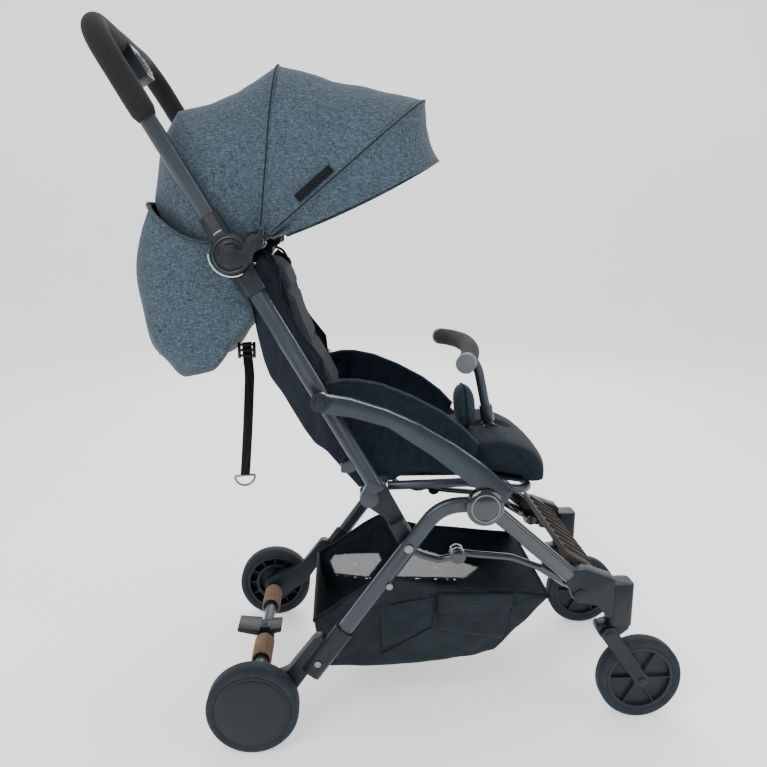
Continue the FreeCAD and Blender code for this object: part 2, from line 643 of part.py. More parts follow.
def arm_pivot_cap():
    pin = disc(ARM_PIVOT, RIVET_RADIUS, TUBE_LAYER[0], 206.0)
    head = joined(disc(ARM_PIVOT, 14.0, 204.5, 207.0), cone(ARM_PIVOT, 9.0, 7.0, 207.0, 210.0))
    return joined(pin, head)


def canopy_arch(line, half_width, radius, foot):
    """Closed outline of the canopy in the plane of one line across it."""
    degrees = line[0]
    corners = [(foot, -half_width), (radius, -half_width), (radius, half_width), (foot, half_width)]
    points = []
    for r, y in corners:
        x, z = polar(CANOPY_PIVOT, degrees, r)
        points.append(at(x, y, z))
    edges = []
    bend = CANOPY_CORNER - (CANOPY_HALF_WIDTH - half_width)
    out = (points[1] - points[0]).normalize()
    a, b = points[1] - out * bend, points[1] + Y_AXIS * bend
    c, d = points[2] - Y_AXIS * bend, points[2] - out * bend
    k = bend * (1 - math.sqrt(0.5))
    edges.append(Part.LineSegment(points[0], a).toShape())
    edges.append(Part.Arc(a, points[1] - out * k + Y_AXIS * k, b).toShape())
    edges.append(Part.LineSegment(b, c).toShape())
    edges.append(Part.Arc(c, points[2] - out * k - Y_AXIS * k, d).toShape())
    edges.append(Part.LineSegment(d, points[3]).toShape())
    edges.append(Part.LineSegment(points[3], points[0]).toShape())
    return Part.Wire(edges)


def between(first, second, share):
    return tuple(a + (b - a) * share for a, b in zip(first, second))


def canopy_panel(first, second):
    """Cloth of the canopy between two lines across it: a roof and two sides, open underneath."""
    outer = Part.makeLoft([canopy_arch(first, CANOPY_HALF_WIDTH, first[1], 18.0),
                           canopy_arch(second, CANOPY_HALF_WIDTH, second[1], 18.0)], True, True)
    inside = CANOPY_HALF_WIDTH - CANOPY_SKIN
    inner = Part.makeLoft([canopy_arch(first, inside, first[1] - CANOPY_SKIN, 10.0),
                           canopy_arch(second, inside, second[1] - CANOPY_SKIN, 10.0)], True, True)
    return outer.cut(inner)


def canopy_rear_panel():
    """Cloth from just behind the mid bow over the rear edge, and down the back to the hem."""
    lines = [between(CANOPY_MID_BOW, CANOPY_REAR_EDGE, 0.03), CANOPY_REAR_EDGE, CANOPY_BACK_FOLD, CANOPY_HEM]
    return joined(*[canopy_panel(first, second) for first, second in zip(lines, lines[1:])])


def canopy_bow(line, half_width, eye_low):
    """Bent rod of the canopy, with a flat eye at each end."""
    radius = line[1] - 10.0
    corners = [(16.0, -half_width), (radius, -half_width), (radius, half_width), (16.0, half_width)]
    points = []
    for r, y in corners:
        x, z = polar(CANOPY_PIVOT, line[0], r)
        points.append(at(x, y, z))
    rod = sweep(points, CANOPY_CORNER - 10.0, 2.6)
    eye = disc(CANOPY_PIVOT, 8.5, eye_low, eye_low + 3.0)
    tab_outline = [polar(polar(CANOPY_PIVOT, line[0], distance), line[0] + side * 90, 4.0)
                   for distance, side in ((5.0, 1), (24.0, 1), (24.0, -1), (5.0, -1))]
    tab = prism(tab_outline, eye_low, eye_low + 3.0)
    eyes = [joined(eye, tab), mirrored(joined(eye, tab))]
    return joined(rod, *eyes).cut(disc(CANOPY_PIVOT, 3.0 + RUNNING_GAP, -160, 160))


RECLINE_ROD_RADIUS = 4.0


def recline_rod():
    """Rod between the main tubes that the backrest turns on, with a lug at each end."""
    lug = prism([(134, 424), (148, 424), (172, 434), (164, 452), (150, 444),
                 (134, 438)], 160.0, TUBE_LAYER[0], 4.0)
    rod = disc(RECLINE_HINGE, RECLINE_ROD_RADIUS, -162.0, 162.0)
    return joined(rod, *pair(lug))


# ---- backrest ------------------------------------------------------------------------------------
def backrest_pad():
    outline = [
        (33, 742), (50, 672), (66, 615), (105, 530), (151, 448), (153, 424), (146, 418), (133, 418),
        (124, 432),
        (88, 500), (26, 606), (2, 670), (-6, 726), (10, 744),
    ]
    pad = prism(outline, -126.0, 126.0, 9.0)
    return pad.cut(disc(RECLINE_HINGE, RECLINE_ROD_RADIUS + RUNNING_GAP, -130.0, 130.0))


POUCH_OUTLINE = [
    (-139, 792), (-152, 735), (-146, 612), (-92, 561), (-62, 563), (-22, 612), (-13, 650), (-16, 725),
    (-58, 753), (-112, 772),
]


def back_pouch():
    """Slack cloth that hangs behind the backrest, below the canopy."""
    return prism(POUCH_OUTLINE, -147.0, 147.0, 14.0)


STRAP_TOP = (-20.0, 596.0)
STRAP_BEND = (-17.0, 540.0)
STRAP_BOTTOM = (-29.0, 366.0)
STRAP_HALF_WIDTH = 8.0
STRAP_HALF_THICKNESS = 0.9


def recline_strap():
    """Webbing that hangs behind the backrest, its flat side to the side of the stroller."""
    line = (STRAP_TOP, STRAP_BEND, STRAP_BOTTOM)
    rear = [(x - STRAP_HALF_WIDTH, z) for x, z in line]
    front = [(x + STRAP_HALF_WIDTH, z) for x, z in reversed(line)]
    return prism(rear + front, -STRAP_HALF_THICKNESS, STRAP_HALF_THICKNESS)


# ---- push handle ---------------------------------------------------------------------------------
def handle_point(distance, y, out=0.0):
    """A point in the handle's plane, that far from the upper hub, and out of the plane by out."""
    x, z = polar(polar(UPPER_HUB, HANDLE_LEAN, distance), HANDLE_LEAN + 90, out)
    return at(x, y, z)


def handle_normal():
    a = math.radians(HANDLE_LEAN + 90)
    return Vector(math.cos(a), 0, math.sin(a))


def handle_loop(start, half_normal, half_plane):
    """The handle's loop from one side to the other, starting that far from the hubs."""
    points = [handle_point(start, TUBE_Y), handle_point(HANDLE_LENGTH, TUBE_Y),
              handle_point(HANDLE_LENGTH, -TUBE_Y), handle_point(start, -TUBE_Y)]
    path = Part.Wire(rounded_edges(points, HANDLE_CORNER, False))
    profile = stadium(points[0], handle_normal(), Y_AXIS, half_normal, half_plane)
    return path.makePipeShell([profile], True, False)


def handle_tube():
    return handle_loop(34.0, TUBE_WIDTH / 2, TUBE_THICK / 2)


def handle_grip(tube):
    return handle_loop(206.0, GRIP_RADIUS, GRIP_RADIUS - 1.5).cut(tube)


def upper_hub_cover():
    """Half of the upper hub that turns with the handle."""
    plate = disc(UPPER_HUB, UPPER_HUB_RADIUS, 177.2, 190.0)
    rim = cone(UPPER_HUB, UPPER_HUB_RADIUS, UPPER_HUB_RADIUS - 3, 190.0, 193.0)
    near, far = polar(UPPER_HUB, HANDLE_LEAN, 16.0), polar(UPPER_HUB, HANDLE_LEAN, 60.0)
    sleeve = sweep([at(near[0], TUBE_Y, near[1]), at(far[0], TUBE_Y, far[1])], 0, 15.0, 9.6)
    sleeve = sleeve.cut(disc(UPPER_HUB, UPPER_HUB_RADIUS + 0.8, 150.0, 177.2))
    cover = joined(plate, rim, sleeve)
    groove = ring(UPPER_HUB, 22.0, 20.0, 192.0, 194.0)
    return cover.cut(groove).cut(disc(UPPER_HUB, 6.0 + RUNNING_GAP, 170.0, 200.0))


BUTTON_TRAVEL = 5.0


def release_block(low, high, half_width, out_low, out_high):
    """A block on the handle, from one distance to another and out of its plane."""
    points = [handle_point(low, -half_width, out_low), handle_point(high, -half_width, out_low),
              handle_point(high, -half_width, out_high), handle_point(low, -half_width, out_high)]
    wire = Part.Wire(Part.__sortEdges__(rounded_edges(points, 2.5, True)))
    return Part.Face(wire).extrude(Vector(0, 2 * half_width, 0))


def release_housing(grip, tube):
    block = release_block(294.0, 346.0, 24.0, -15.0, 13.0)
    well = release_block(298.0, 334.0, 17.0, -17.0, -9.0)
    return block.cut(grip).cut(tube).cut(well)


def release_button():
    """Ribbed slide that frees the fold."""
    plate = release_block(299.0, 328.0, 16.6, -17.0, -9.4)
    ribs = [release_block(302.0 + 5.0 * i, 304.4 + 5.0 * i, 15.0, -18.4, -16.0) for i in range(5)]
    return joined(plate, *ribs)


# ---- build ---------------------------------------------------------------------------------------
def main():
    os.makedirs("parts", exist_ok=True)

    leg = rear_leg()
    save("rear_leg_left", leg)
    save("rear_leg_right", mirrored(leg))
    save("rear_brackets", *pair(rear_bracket(leg)))
    save("leg_rivets", *leg_rivets())
    save("rear_axle_tube", axle_tube())
    save("axle_sleeves", axle_sleeve(-86.0, -26.0), axle_sleeve(98.0, 158.0))
    save("wheel_axle_pins", *pair(wheel_axle_pin()))
    save("fold_hub_pins", *pair(fold_hub_pin()))
    save("basket", basket())
    save("brake_pedal", brake_pedal())
    save("brake_rod", brake_rod())

    for side, place in (("left", lambda s: s), ("right", mirrored)):
        save("rear_tyre_" + side, place(rear_tyre()))
        save("rear_rim_" + side, place(rear_rim()))
        save("front_tyre_" + side, place(front_tyre()))
        save("front_rim_" + side, place(front_rim()))
        save("caster_yoke_" + side, place(caster_yoke()))
        save("front_fork_" + side, place(front_fork()))
        save("front_leg_" + side, place(front_leg()))
        save("arm_bar_" + side, place(arm_bar()))
        save("main_tube_" + side, place(main_tube()))
        save("seat_side_" + side, place(seat_side()))

    bracket = lower_bracket()
    save("lower_brackets", *pair(bracket))
    save("crank_tubes", *pair(crank_tube(bracket)))
    save("front_links", *pair(front_link()))
    save("caster_housings", *pair(caster_housing(front_leg())))
    save("footrest", footrest())

    save("seat_frame_tube", seat_frame_tube())
    save("seat_base", seat_base())
    save("seat_cushion", seat_cushion())
    save("bumper_socket", bumper_socket())
    save("crotch_pad", crotch_pad())
    grip = bumper_grip()
    save("bumper_grip", grip)
    save("bumper_end_caps", *bumper_end_caps(grip))
    save("bumper_post", bumper_post(grip))

    tube = main_tube()
    save("upper_hub_bases", *pair(upper_hub_base().cut(tube)))
    save("arm_pivot_caps", *pair(arm_pivot_cap()))
    save("canopy_rear_panel", canopy_rear_panel())
    save("canopy_mid_bow", canopy_bow(CANOPY_MID_BOW, 148.0, 148.0))
    save("canopy_mid_panel", canopy_panel(CANOPY_MID_BOW, between(CANOPY_FRONT_BOW, CANOPY_MID_BOW, 0.03)))
    save("canopy_front_bow", canopy_bow(CANOPY_FRONT_BOW, 141.0, 142.0))
    save("canopy_visor", canopy_panel(CANOPY_FRONT_BOW, CANOPY_VISOR_EDGE))

    save("recline_rod", recline_rod())
    save("backrest_pad", backrest_pad())
    save("back_pouch", back_pouch())
    save("recline_strap", recline_strap())

    loop = handle_tube()
    foam = handle_grip(loop)
    save("handle_tube", loop)
    save("handle_grip", foam)
    save("upper_hub_covers", *pair(upper_hub_cover().cut(loop)))
    save("release_housing", release_housing(foam, loop))
    save("release_button", release_button())


main()
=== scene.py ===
import json
import math

import bpy
from mathutils import Matrix, Quaternion, Vector, noise


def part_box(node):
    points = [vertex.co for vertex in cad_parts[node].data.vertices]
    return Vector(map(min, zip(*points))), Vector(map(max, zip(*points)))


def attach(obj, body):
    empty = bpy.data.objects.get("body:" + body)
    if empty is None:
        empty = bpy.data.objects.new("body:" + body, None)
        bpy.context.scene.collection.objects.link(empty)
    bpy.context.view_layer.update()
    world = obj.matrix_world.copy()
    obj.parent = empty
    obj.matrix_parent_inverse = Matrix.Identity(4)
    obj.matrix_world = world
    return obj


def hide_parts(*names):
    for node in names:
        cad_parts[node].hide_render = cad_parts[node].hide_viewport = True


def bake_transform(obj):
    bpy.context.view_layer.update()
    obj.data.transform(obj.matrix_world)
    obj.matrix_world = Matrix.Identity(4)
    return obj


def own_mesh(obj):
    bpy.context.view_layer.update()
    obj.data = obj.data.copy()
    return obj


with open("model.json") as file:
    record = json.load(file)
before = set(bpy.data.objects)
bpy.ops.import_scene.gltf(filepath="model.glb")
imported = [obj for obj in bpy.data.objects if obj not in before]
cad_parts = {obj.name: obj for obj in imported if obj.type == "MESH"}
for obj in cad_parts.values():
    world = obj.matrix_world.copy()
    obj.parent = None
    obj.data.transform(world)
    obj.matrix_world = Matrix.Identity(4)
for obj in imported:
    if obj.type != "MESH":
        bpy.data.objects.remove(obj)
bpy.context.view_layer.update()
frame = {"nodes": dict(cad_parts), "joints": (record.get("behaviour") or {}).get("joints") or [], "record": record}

# A folding baby stroller. Metres, +X forward, +Y to the rider's left, +Z up, on the frame of the CAD nodes.
# The CAD gives every tube, hub, wheel and bracket; this script gives the cloth, padding, straps and finish.


# ---- places taken from the frame -----------------------------------------------------
def middle(node):
    low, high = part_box(node)
    return (Vector(low) + Vector(high)) / 2


def joint_at(name):
    return next(Vector(joint["pos_m"]) for joint in frame["joints"] if joint["name"] == name)


AXLE = joint_at("brake_press")
FOLD_HUB = joint_at("frame_fold")
UPPER_HUB = joint_at("handle_fold")
CANOPY_PIVOT = joint_at("canopy_fold")
LEFT, RIGHT = 1, -1
SIDES = (("left", LEFT), ("right", RIGHT))


def spot(x, y, z):
    """A point given in millimetres forward of the rear axle, to the left, and up from the floor."""
    return Vector((AXLE.x + x / 1000, y / 1000, z / 1000))


# ---- node materials ------------------------------------------------------------------
class Shader:
    """A material under construction: short calls that add nodes and link them."""

    def __init__(self, name, roughness=0.5, metallic=0.0, **sockets):
        self.material = bpy.data.materials.new(name)
        self.material.use_nodes = True
        self.tree = self.material.node_tree
        self.bsdf = self.tree.nodes["Principled BSDF"]
        self.bsdf.inputs["Roughness"].default_value = roughness
        self.bsdf.inputs["Metallic"].default_value = metallic
        for socket, value in sockets.items():
            self.bsdf.inputs[socket.replace("_", " ")].default_value = value
        self.place = self.node("ShaderNodeTexCoord").outputs["Object"]
        self.height = None

    def node(self, kind, **settings):
        made = self.tree.nodes.new(kind)
        for key, value in settings.items():
            setattr(made, key, value)
        return made

    def link(self, a, b):
        self.tree.links.new(a, b)

    def stretched(self, scale):
        mapping = self.node("ShaderNodeMapping")
        mapping.inputs["Scale"].default_value = scale
        self.link(self.place, mapping.inputs["Vector"])
        return mapping.outputs["Vector"]

    def noise(self, scale, detail=2.0, place=None):
        made = self.node("ShaderNodeTexNoise")
        made.inputs["Scale"].default_value = scale
        made.inputs["Detail"].default_value = detail
        self.link(place or self.place, made.inputs["Vector"])
        return made.outputs["Fac"]

    def cells(self, scale):
        made = self.node("ShaderNodeTexVoronoi")
        made.inputs["Scale"].default_value = scale
        self.link(self.place, made.inputs["Vector"])
        return made.outputs["Distance"]

    def wave(self, scale, direction):
        made = self.node("ShaderNodeTexWave", bands_direction=direction)
        made.inputs["Scale"].default_value = scale
        self.link(self.place, made.inputs["Vector"])
        return made.outputs["Fac"]

    def math(self, operation, a, b):
        made = self.node("ShaderNodeMath", operation=operation)
        for socket, value in zip(made.inputs, (a, b)):
            if isinstance(value, (int, float)):
                socket.default_value = value
            else:
                self.link(value, socket)
        return made.outputs[0]

    def ramp(self, source, *stops):
        """stops are (position, colour) with a colour of three numbers or one grey number."""
        made = self.node("ShaderNodeValToRGB")
        band = made.color_ramp
        while len(band.elements) < len(stops):
            band.elements.new(0.5)
        for element, (position, colour) in zip(band.elements, stops):
            element.position = position
            grey = isinstance(colour, (int, float))
            element.color = (colour, colour, colour, 1) if grey else (*colour, 1)
        self.link(source, made.inputs["Fac"])
        return made.outputs["Color"]

    def colour(self, source):
        self.link(source, self.bsdf.inputs["Base Color"])

    def shade(self, source, colour, *stops):
        """Base colour from one colour: stops are (position, factor)."""
        self.colour(self.ramp(source, *((position, tinted(colour, factor)) for position, factor in stops)))

    def rough(self, source):
        self.link(source, self.bsdf.inputs["Roughness"])

    def bump(self, source, strength, distance):
        made = self.node("ShaderNodeBump")
        made.inputs["Strength"].default_value = strength
        made.inputs["Distance"].default_value = distance
        self.link(source, made.inputs["Height"])
        if self.height is not None:
            self.link(self.height, made.inputs["Normal"])
        self.height = made.outputs["Normal"]
        self.link(self.height, self.bsdf.inputs["Normal"])


def tinted(colour, factor):
    return tuple(min(1.0, c * factor) for c in colour)


def painted(name, colour, roughness, metallic=0.55):
    """Powder-coated tube: faint orange peel, a little cloudiness, scuffs on the lower tone."""
    s = Shader(name, roughness, metallic, Coat_Weight=0.25, Coat_Roughness=0.25)
    cloud = s.noise(9.0, 4.0)
    s.shade(cloud, colour, (0.3, 0.86), (0.7, 1.12))
    scuff = s.noise(130.0, 6.0, s.stretched((1.0, 1.0, 0.35)))
    s.rough(s.ramp(scuff, (0.35, roughness * 0.85), (0.75, min(1.0, roughness * 1.35))))
    s.bump(s.noise(1500.0, 2.0), 0.08, 0.0004)
    return s.material


def plastic(name, colour, roughness, grain=0.25):
    """Moulded plastic with a spark-eroded grain."""
    s = Shader(name, roughness, 0.0, IOR=1.47, Specular_IOR_Level=0.3)
    s.shade(s.noise(40.0, 4.0), colour, (0.3, 0.85), (0.75, 1.2))
    s.rough(s.ramp(s.noise(260.0, 3.0), (0.3, roughness * 0.9), (0.8, min(1.0, roughness * 1.25))))
    s.bump(s.cells(1900.0), grain, 0.0003)
    return s.material


def gloss_plastic(name, colour):
    """Polished black plastic."""
    s = Shader(name, 0.12, 0.0, Coat_Weight=0.6, Coat_Roughness=0.05)
    s.shade(s.noise(25.0, 3.0), colour, (0.3, 0.8), (0.8, 1.3))
    s.rough(s.ramp(s.noise(180.0, 5.0), (0.4, 0.10), (0.8, 0.24)))
    s.bump(s.noise(300.0, 1.0), 0.03, 0.0003)
    return s.material


def metal(name, colour, roughness):
    """Turned or rolled steel with fine brushing."""
    s = Shader(name, roughness, 1.0)
    lines = s.noise(900.0, 2.0, s.stretched((1.0, 0.08, 1.0)))
    s.shade(lines, colour, (0.3, 0.8), (0.7, 1.1))
    s.rough(s.ramp(s.noise(300.0, 4.0), (0.3, roughness * 0.75), (0.8, min(1.0, roughness * 1.4))))
    s.bump(lines, 0.08, 0.0002)
    return s.material


def rubber(name, colour):
    """Matt tyre rubber, a little dusty."""
    s = Shader(name, 0.72, 0.0, IOR=1.5, Specular_IOR_Level=0.25)
    s.shade(s.noise(60.0, 6.0), colour, (0.3, 0.8), (0.7, 1.35))
    s.rough(s.ramp(s.noise(200.0, 4.0), (0.3, 0.62), (0.8, 0.85)))
    s.bump(s.noise(900.0, 3.0), 0.25, 0.0004)
    return s.material


def foam(name, colour):
    """Closed-cell foam grip: matt, finely pitted."""
    s = Shader(name, 0.85, 0.0, Sheen_Weight=0.03, Sheen_Roughness=0.6, Specular_IOR_Level=0.2)
    pits = s.cells(620.0)
    # Painted shade: the colour darkens towards the bottom of each pit, where the bump is lowest.
    s.shade(pits, colour, (0.0, 0.55), (0.5, 1.0), (1.0, 1.35))
    s.bump(pits, 0.35, 0.0006)
    s.bump(s.noise(90.0, 3.0), 0.12, 0.0015)
    return s.material


def woven(name, colour, thread=0.0011, contrast=0.35, sheen=0.25, roughness=0.85, depth=0.5):
    """Plain weave: threads along the three axes, so that it runs round a form with no seams."""
    s = Shader(name, roughness, 0.0, Sheen_Weight=sheen * 0.4, Sheen_Roughness=0.5, Specular_IOR_Level=0.12)
    scale = 0.5 * math.pi / (10.0 * thread)
    warp = s.wave(scale, "X")
    weft = s.wave(scale, "Z")
    across = s.wave(scale, "Y")
    weave = s.math("MULTIPLY", s.math("ADD", warp, across), s.math("ADD", weft, 0.35))
    shade = s.math("ADD", s.math("MULTIPLY", weave, 0.35), s.math("MULTIPLY", s.noise(55.0, 5.0), 0.6))
    s.shade(shade, colour, (0.2, 1.0 - contrast), (0.85, 1.0 + contrast))
    s.bump(weave, depth, 0.0004)
    s.bump(s.noise(38.0, 4.0), 0.18, 0.004)
    return s.material


def heathered(name, dark, mid, light):
    """Melange cloth: short flecks of lighter and darker yarn along both thread directions."""
    s = Shader(name, 0.9, 0.0, Sheen_Weight=0.08, Sheen_Roughness=0.45, Specular_IOR_Level=0.15)
    along = s.noise(560.0, 4.0, s.stretched((0.28, 0.5, 1.8)))
    upright = s.noise(560.0, 4.0, s.stretched((1.8, 1.2, 0.28)))
    flecks = s.math("ADD", s.math("MULTIPLY", along, 0.55), s.math("MULTIPLY", upright, 0.45))
    s.colour(s.ramp(flecks, (0.36, dark), (0.5, mid), (0.64, light)))
    s.bump(flecks, 0.4, 0.0006)
    s.bump(s.noise(30.0, 4.0), 0.15, 0.004)
    return s.material


def netting(name, colour):
    """Open net: fine threads with see-through holes between them."""
    s = Shader(name, 0.7, 0.0)
    threads = s.math("MAXIMUM", s.wave(170.0, "X"), s.wave(170.0, "Z"))
    s.shade(threads, colour, (0.3, 0.8), (0.8, 1.2))
    s.link(s.ramp(threads, (0.50, 0.30), (0.85, 1.0)), s.bsdf.inputs["Alpha"])
    s.bump(threads, 0.3, 0.0004)
    return s.material


def card(name, colour):
    """Fibrous brown board rolled into a sleeve."""
    s = Shader(name, 0.93, 0.0)
    fibres = s.noise(160.0, 6.0, s.stretched((1.0, 0.25, 1.0)))
    s.shade(fibres, colour, (0.3, 0.7), (0.5, 1.0), (0.75, 1.45))
    s.bump(fibres, 0.25, 0.0006)
    return s.material


def webbing(name, colour):
    """Narrow woven tape: ribs across its length."""
    s = Shader(name, 0.75, 0.0, Sheen_Weight=0.05, Sheen_Roughness=0.4, Specular_IOR_Level=0.15)
    ribs = s.math("MULTIPLY", s.wave(110.0, "Z"), s.wave(150.0, "Y"))
    s.shade(ribs, colour, (0.1, 0.6), (0.8, 1.5))
    s.bump(ribs, 0.5, 0.0004)
    return s.material


MATERIALS = {
    "frame_paint": painted("frame_paint", (0.026, 0.036, 0.046), 0.36, 0.45),
    "arm_paint": painted("arm_paint", (0.018, 0.028, 0.038), 0.30),
    "black_plastic": plastic("black_plastic", (0.009, 0.013, 0.017), 0.40),
    "gloss_black": gloss_plastic("gloss_black", (0.005, 0.009, 0.013)),
    "grey_plastic": plastic("grey_plastic", (0.085, 0.095, 0.105), 0.45),
    "steel": metal("steel", (0.22, 0.235, 0.25), 0.34),
    "tyre_rubber": rubber("tyre_rubber", (0.013, 0.018, 0.023)),
    "grip_foam": foam("grip_foam", (0.011, 0.012, 0.013)),
    "canopy_fabric": heathered("canopy_fabric", (0.021, 0.033, 0.046), (0.050, 0.073, 0.094),
                               (0.108, 0.140, 0.166)),
    "seat_fabric": woven("seat_fabric", (0.007, 0.013, 0.020), 0.0012, sheen=0.12),
    "pad_fabric": heathered("pad_fabric", (0.010, 0.017, 0.025), (0.022, 0.034, 0.046),
                            (0.050, 0.066, 0.080)),
    "basket_fabric": woven("basket_fabric", (0.011, 0.017, 0.021), 0.0013, sheen=0.12, roughness=0.6),
    "webbing": webbing("webbing", (0.008, 0.011, 0.014)),
    "card_sleeve": card("card_sleeve", (0.155, 0.095, 0.060)),
    "dark_piping": woven("dark_piping", (0.012, 0.018, 0.026), 0.0010, sheen=0.1),
    "nylon": woven("nylon", (0.010, 0.014, 0.022), 0.0008, contrast=0.3, sheen=0.1, roughness=0.5, depth=0.3),
    "net": netting("net", (0.075, 0.085, 0.095)),
    "mint_plastic": plastic("mint_plastic", (0.52, 0.68, 0.62), 0.4),
    "board": plastic("board", (0.034, 0.027, 0.023), 0.55, grain=0.4),
}


# ---- carried-over CAD nodes ----------------------------------------------------------
def finish_nodes():
    """Every CAD node gets its material, a small rounded edge and smooth shading."""
    for entry in frame["record"]["subparts"]:
        node = frame["nodes"][entry["node"]]
        node.data.materials.clear()
        node.data.materials.append(MATERIALS[entry["material_slot"]])
        weld = node.modifiers.new("weld", "WELD")
        weld.merge_threshold = 0.00002
        bevel = node.modifiers.new("bevel", "BEVEL")
        bevel.width = 0.0007
        bevel.segments = 2
        bevel.limit_method = "ANGLE"
        bevel.angle_limit = math.radians(40)
        bevel.harden_normals = True
        node.data.shade_smooth()


finish_nodes()


# ---- mesh helpers --------------------------------------------------------------------
def placed(name, data):
    """A new object in the scene."""
    thing = bpy.data.objects.new(name, data)
    bpy.context.scene.collection.objects.link(thing)
    return thing


def made(name, vertices, faces, look, body=None):
    """A mesh piece with its material slot, riding on a body."""
    mesh = bpy.data.meshes.new(name)
    mesh.from_pydata([tuple(v) for v in vertices], [], faces)
    mesh.update()
    piece = placed(name, mesh)
    mesh.materials.append(MATERIALS[look])
    mesh.shade_smooth()
    if body:
        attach(piece, body)
    return piece


def circle(count, radius=1.0):
    """Points round a circle."""
    turns = [2 * math.pi * k / count for k in range(count)]
    return [(radius * math.cos(turn), radius * math.sin(turn)) for turn in turns]


def grid(rows, closed_across=False, closed_along=False):
    """Vertices and faces of a surface through rows of points."""
    wide = len(rows[0])
    vertices = [p for row in rows for p in row]
    faces = []
    for i in range(len(rows) if closed_along else len(rows) - 1):
        for j in range(wide if closed_across else wide - 1):
            a, b = i * wide + j, i * wide + (j + 1) % wide
            c = ((i + 1) % len(rows)) * wide
            faces.append((a, b, c + (j + 1) % wide, c + j))
    return vertices, faces


def close_ends(vertices, faces, size):
    """Faces over the first and the last ring of a tube with that many points in a ring."""
    faces.append(tuple(reversed(range(size))))
    faces.append(tuple(range(len(vertices) - size, len(vertices))))


def settled(piece):
    """Applies every modifier on the piece."""
    bpy.context.view_layer.update()
    depsgraph = bpy.context.evaluated_depsgraph_get()
    mesh = bpy.data.meshes.new_from_object(piece.evaluated_get(depsgraph))
    piece.modifiers.clear()
    piece.data = mesh
    mesh.shade_smooth()
    return piece


def solidify(piece, thickness, offset):
    solid = piece.modifiers.new("solid", "SOLIDIFY")
    solid.thickness = thickness
    solid.offset = offset


def thicken(piece, thickness, subdivide=0):
    """Gives a sheet its thickness to both sides, then smooths it."""
    solidify(piece, thickness, 0.0)
    if subdivide:
        piece.modifiers.new("smooth", "SUBSURF").levels = subdivide
    return settled(piece)


def thicken_inward(piece, thickness):
    """Smooths a sheet, then gives it its thickness on the inside."""
    piece.modifiers.new("fine", "SUBSURF").levels = 1
    solidify(piece, thickness, -1.0)
    return settled(piece)


def smooth_path(points, steps=8):
    """Points of a smooth curve through the given ones."""
    p = [Vector(q) for q in points]
    p = [p[0] * 2 - p[1]] + p + [p[-1] * 2 - p[-2]]
    out = []
    for i in range(1, len(p) - 2):
        for k in range(steps):
            t = k / steps
            out.append(0.5 * ((2 * p[i]) + (p[i + 1] - p[i - 1]) * t
                              + (2 * p[i - 1] - 5 * p[i] + 4 * p[i + 1] - p[i + 2]) * t * t
                              + (3 * p[i] - p[i - 1] - 3 * p[i + 1] + p[i + 2]) * t ** 3))
    out.append(p[-2])
    return out


def strip(name, points, profile, across, look, body=None, closed=False):
    """A profile swept along points; across fixes its first axis, or else it rolls as little as it can."""
    rows, count = [], len(points)
    side = Vector(across) if across else None
    for i, point in enumerate(points):
        before = points[i - 1] if closed or i > 0 else point
        after = points[(i + 1) % count] if closed or i < count - 1 else point
        direction = (Vector(after) - Vector(before)).normalized()
        u = direction.orthogonal() if side is None else side
        u = (u - direction * u.dot(direction)).normalized()
        v = direction.cross(u)
        if not across:
            side = u
        rows.append([Vector(point) + u * a + v * b for a, b in profile])
    vertices, faces = grid(rows, closed_across=True, closed_along=closed)
    if not closed:
        close_ends(vertices, faces, len(profile))
    return made(name, vertices, faces, look, body)


def rod(name, points, radius, look, body=None, closed=False, sides=10):
    """A round cord or piping along points."""
    return strip(name, points, circle(sides, radius), None, look, body, closed)


def tape(name, points, width, thickness, across, look, body):
    """Flat webbing along points; across is the direction of its width."""
    w, t = width / 2, thickness / 2
    profile = [(-w, -t * 0.5), (-w * 0.92, -t), (w * 0.92, -t), (w, -t * 0.5),
               (w, t * 0.5), (w * 0.92, t), (-w * 0.92, t), (-w, t * 0.5)]
    return strip(name, points, profile, across, look, body)


def joined_mesh(name, pieces, body=None):
    """Several pieces as one, with each one's material."""
    vertices, faces, looks, materials = [], [], [], []
    for piece in pieces:
        start = len(vertices)
        vertices += [piece.matrix_world @ v.co for v in piece.data.vertices]
        for material in piece.data.materials:
            if material not in materials:
                materials.append(material)
        for face in piece.data.polygons:
            faces.append([start + i for i in face.vertices])
            looks.append(materials.index(piece.data.materials[face.material_index]))
    for piece in pieces:
        bpy.data.objects.remove(piece)
    mesh = bpy.data.meshes.new(name)
    mesh.from_pydata([tuple(v) for v in vertices], [], faces)
    mesh.polygons.foreach_set("material_index", looks)
    for material in materials:
        mesh.materials.append(material)
    mesh.shade_smooth()
    piece = placed(name, mesh)
    if body:
        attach(piece, body)
    return piece


def pushed(piece, amount):
    """Moves each vertex along its normal by amount(vertex)."""
    mesh = piece.data
    mesh.update()
    moves = [vertex.normal * amount(vertex) for vertex in mesh.vertices]
    for vertex, move in zip(mesh.vertices, moves):
        vertex.co += move
    mesh.update()


def ruffled(piece, size, depth, seed, stretch=(1, 1, 1)):
    """Moves a surface in and out by smooth noise, as slack cloth lies."""
    offset = Vector((seed * 3.1, seed * 7.7, seed * 5.3))
    pushed(piece, lambda vertex: depth * noise.noise(vertex.co * Vector(stretch) / size + offset))


def channel(piece, distance_of, depth, width):
    """Draws the surface in along a seam: distance_of(point) is how far a point is from the seam."""
    pushed(piece, lambda vertex: -depth * math.exp(-(distance_of(vertex.co) / width) ** 2))


SOLID_STEPS = 14


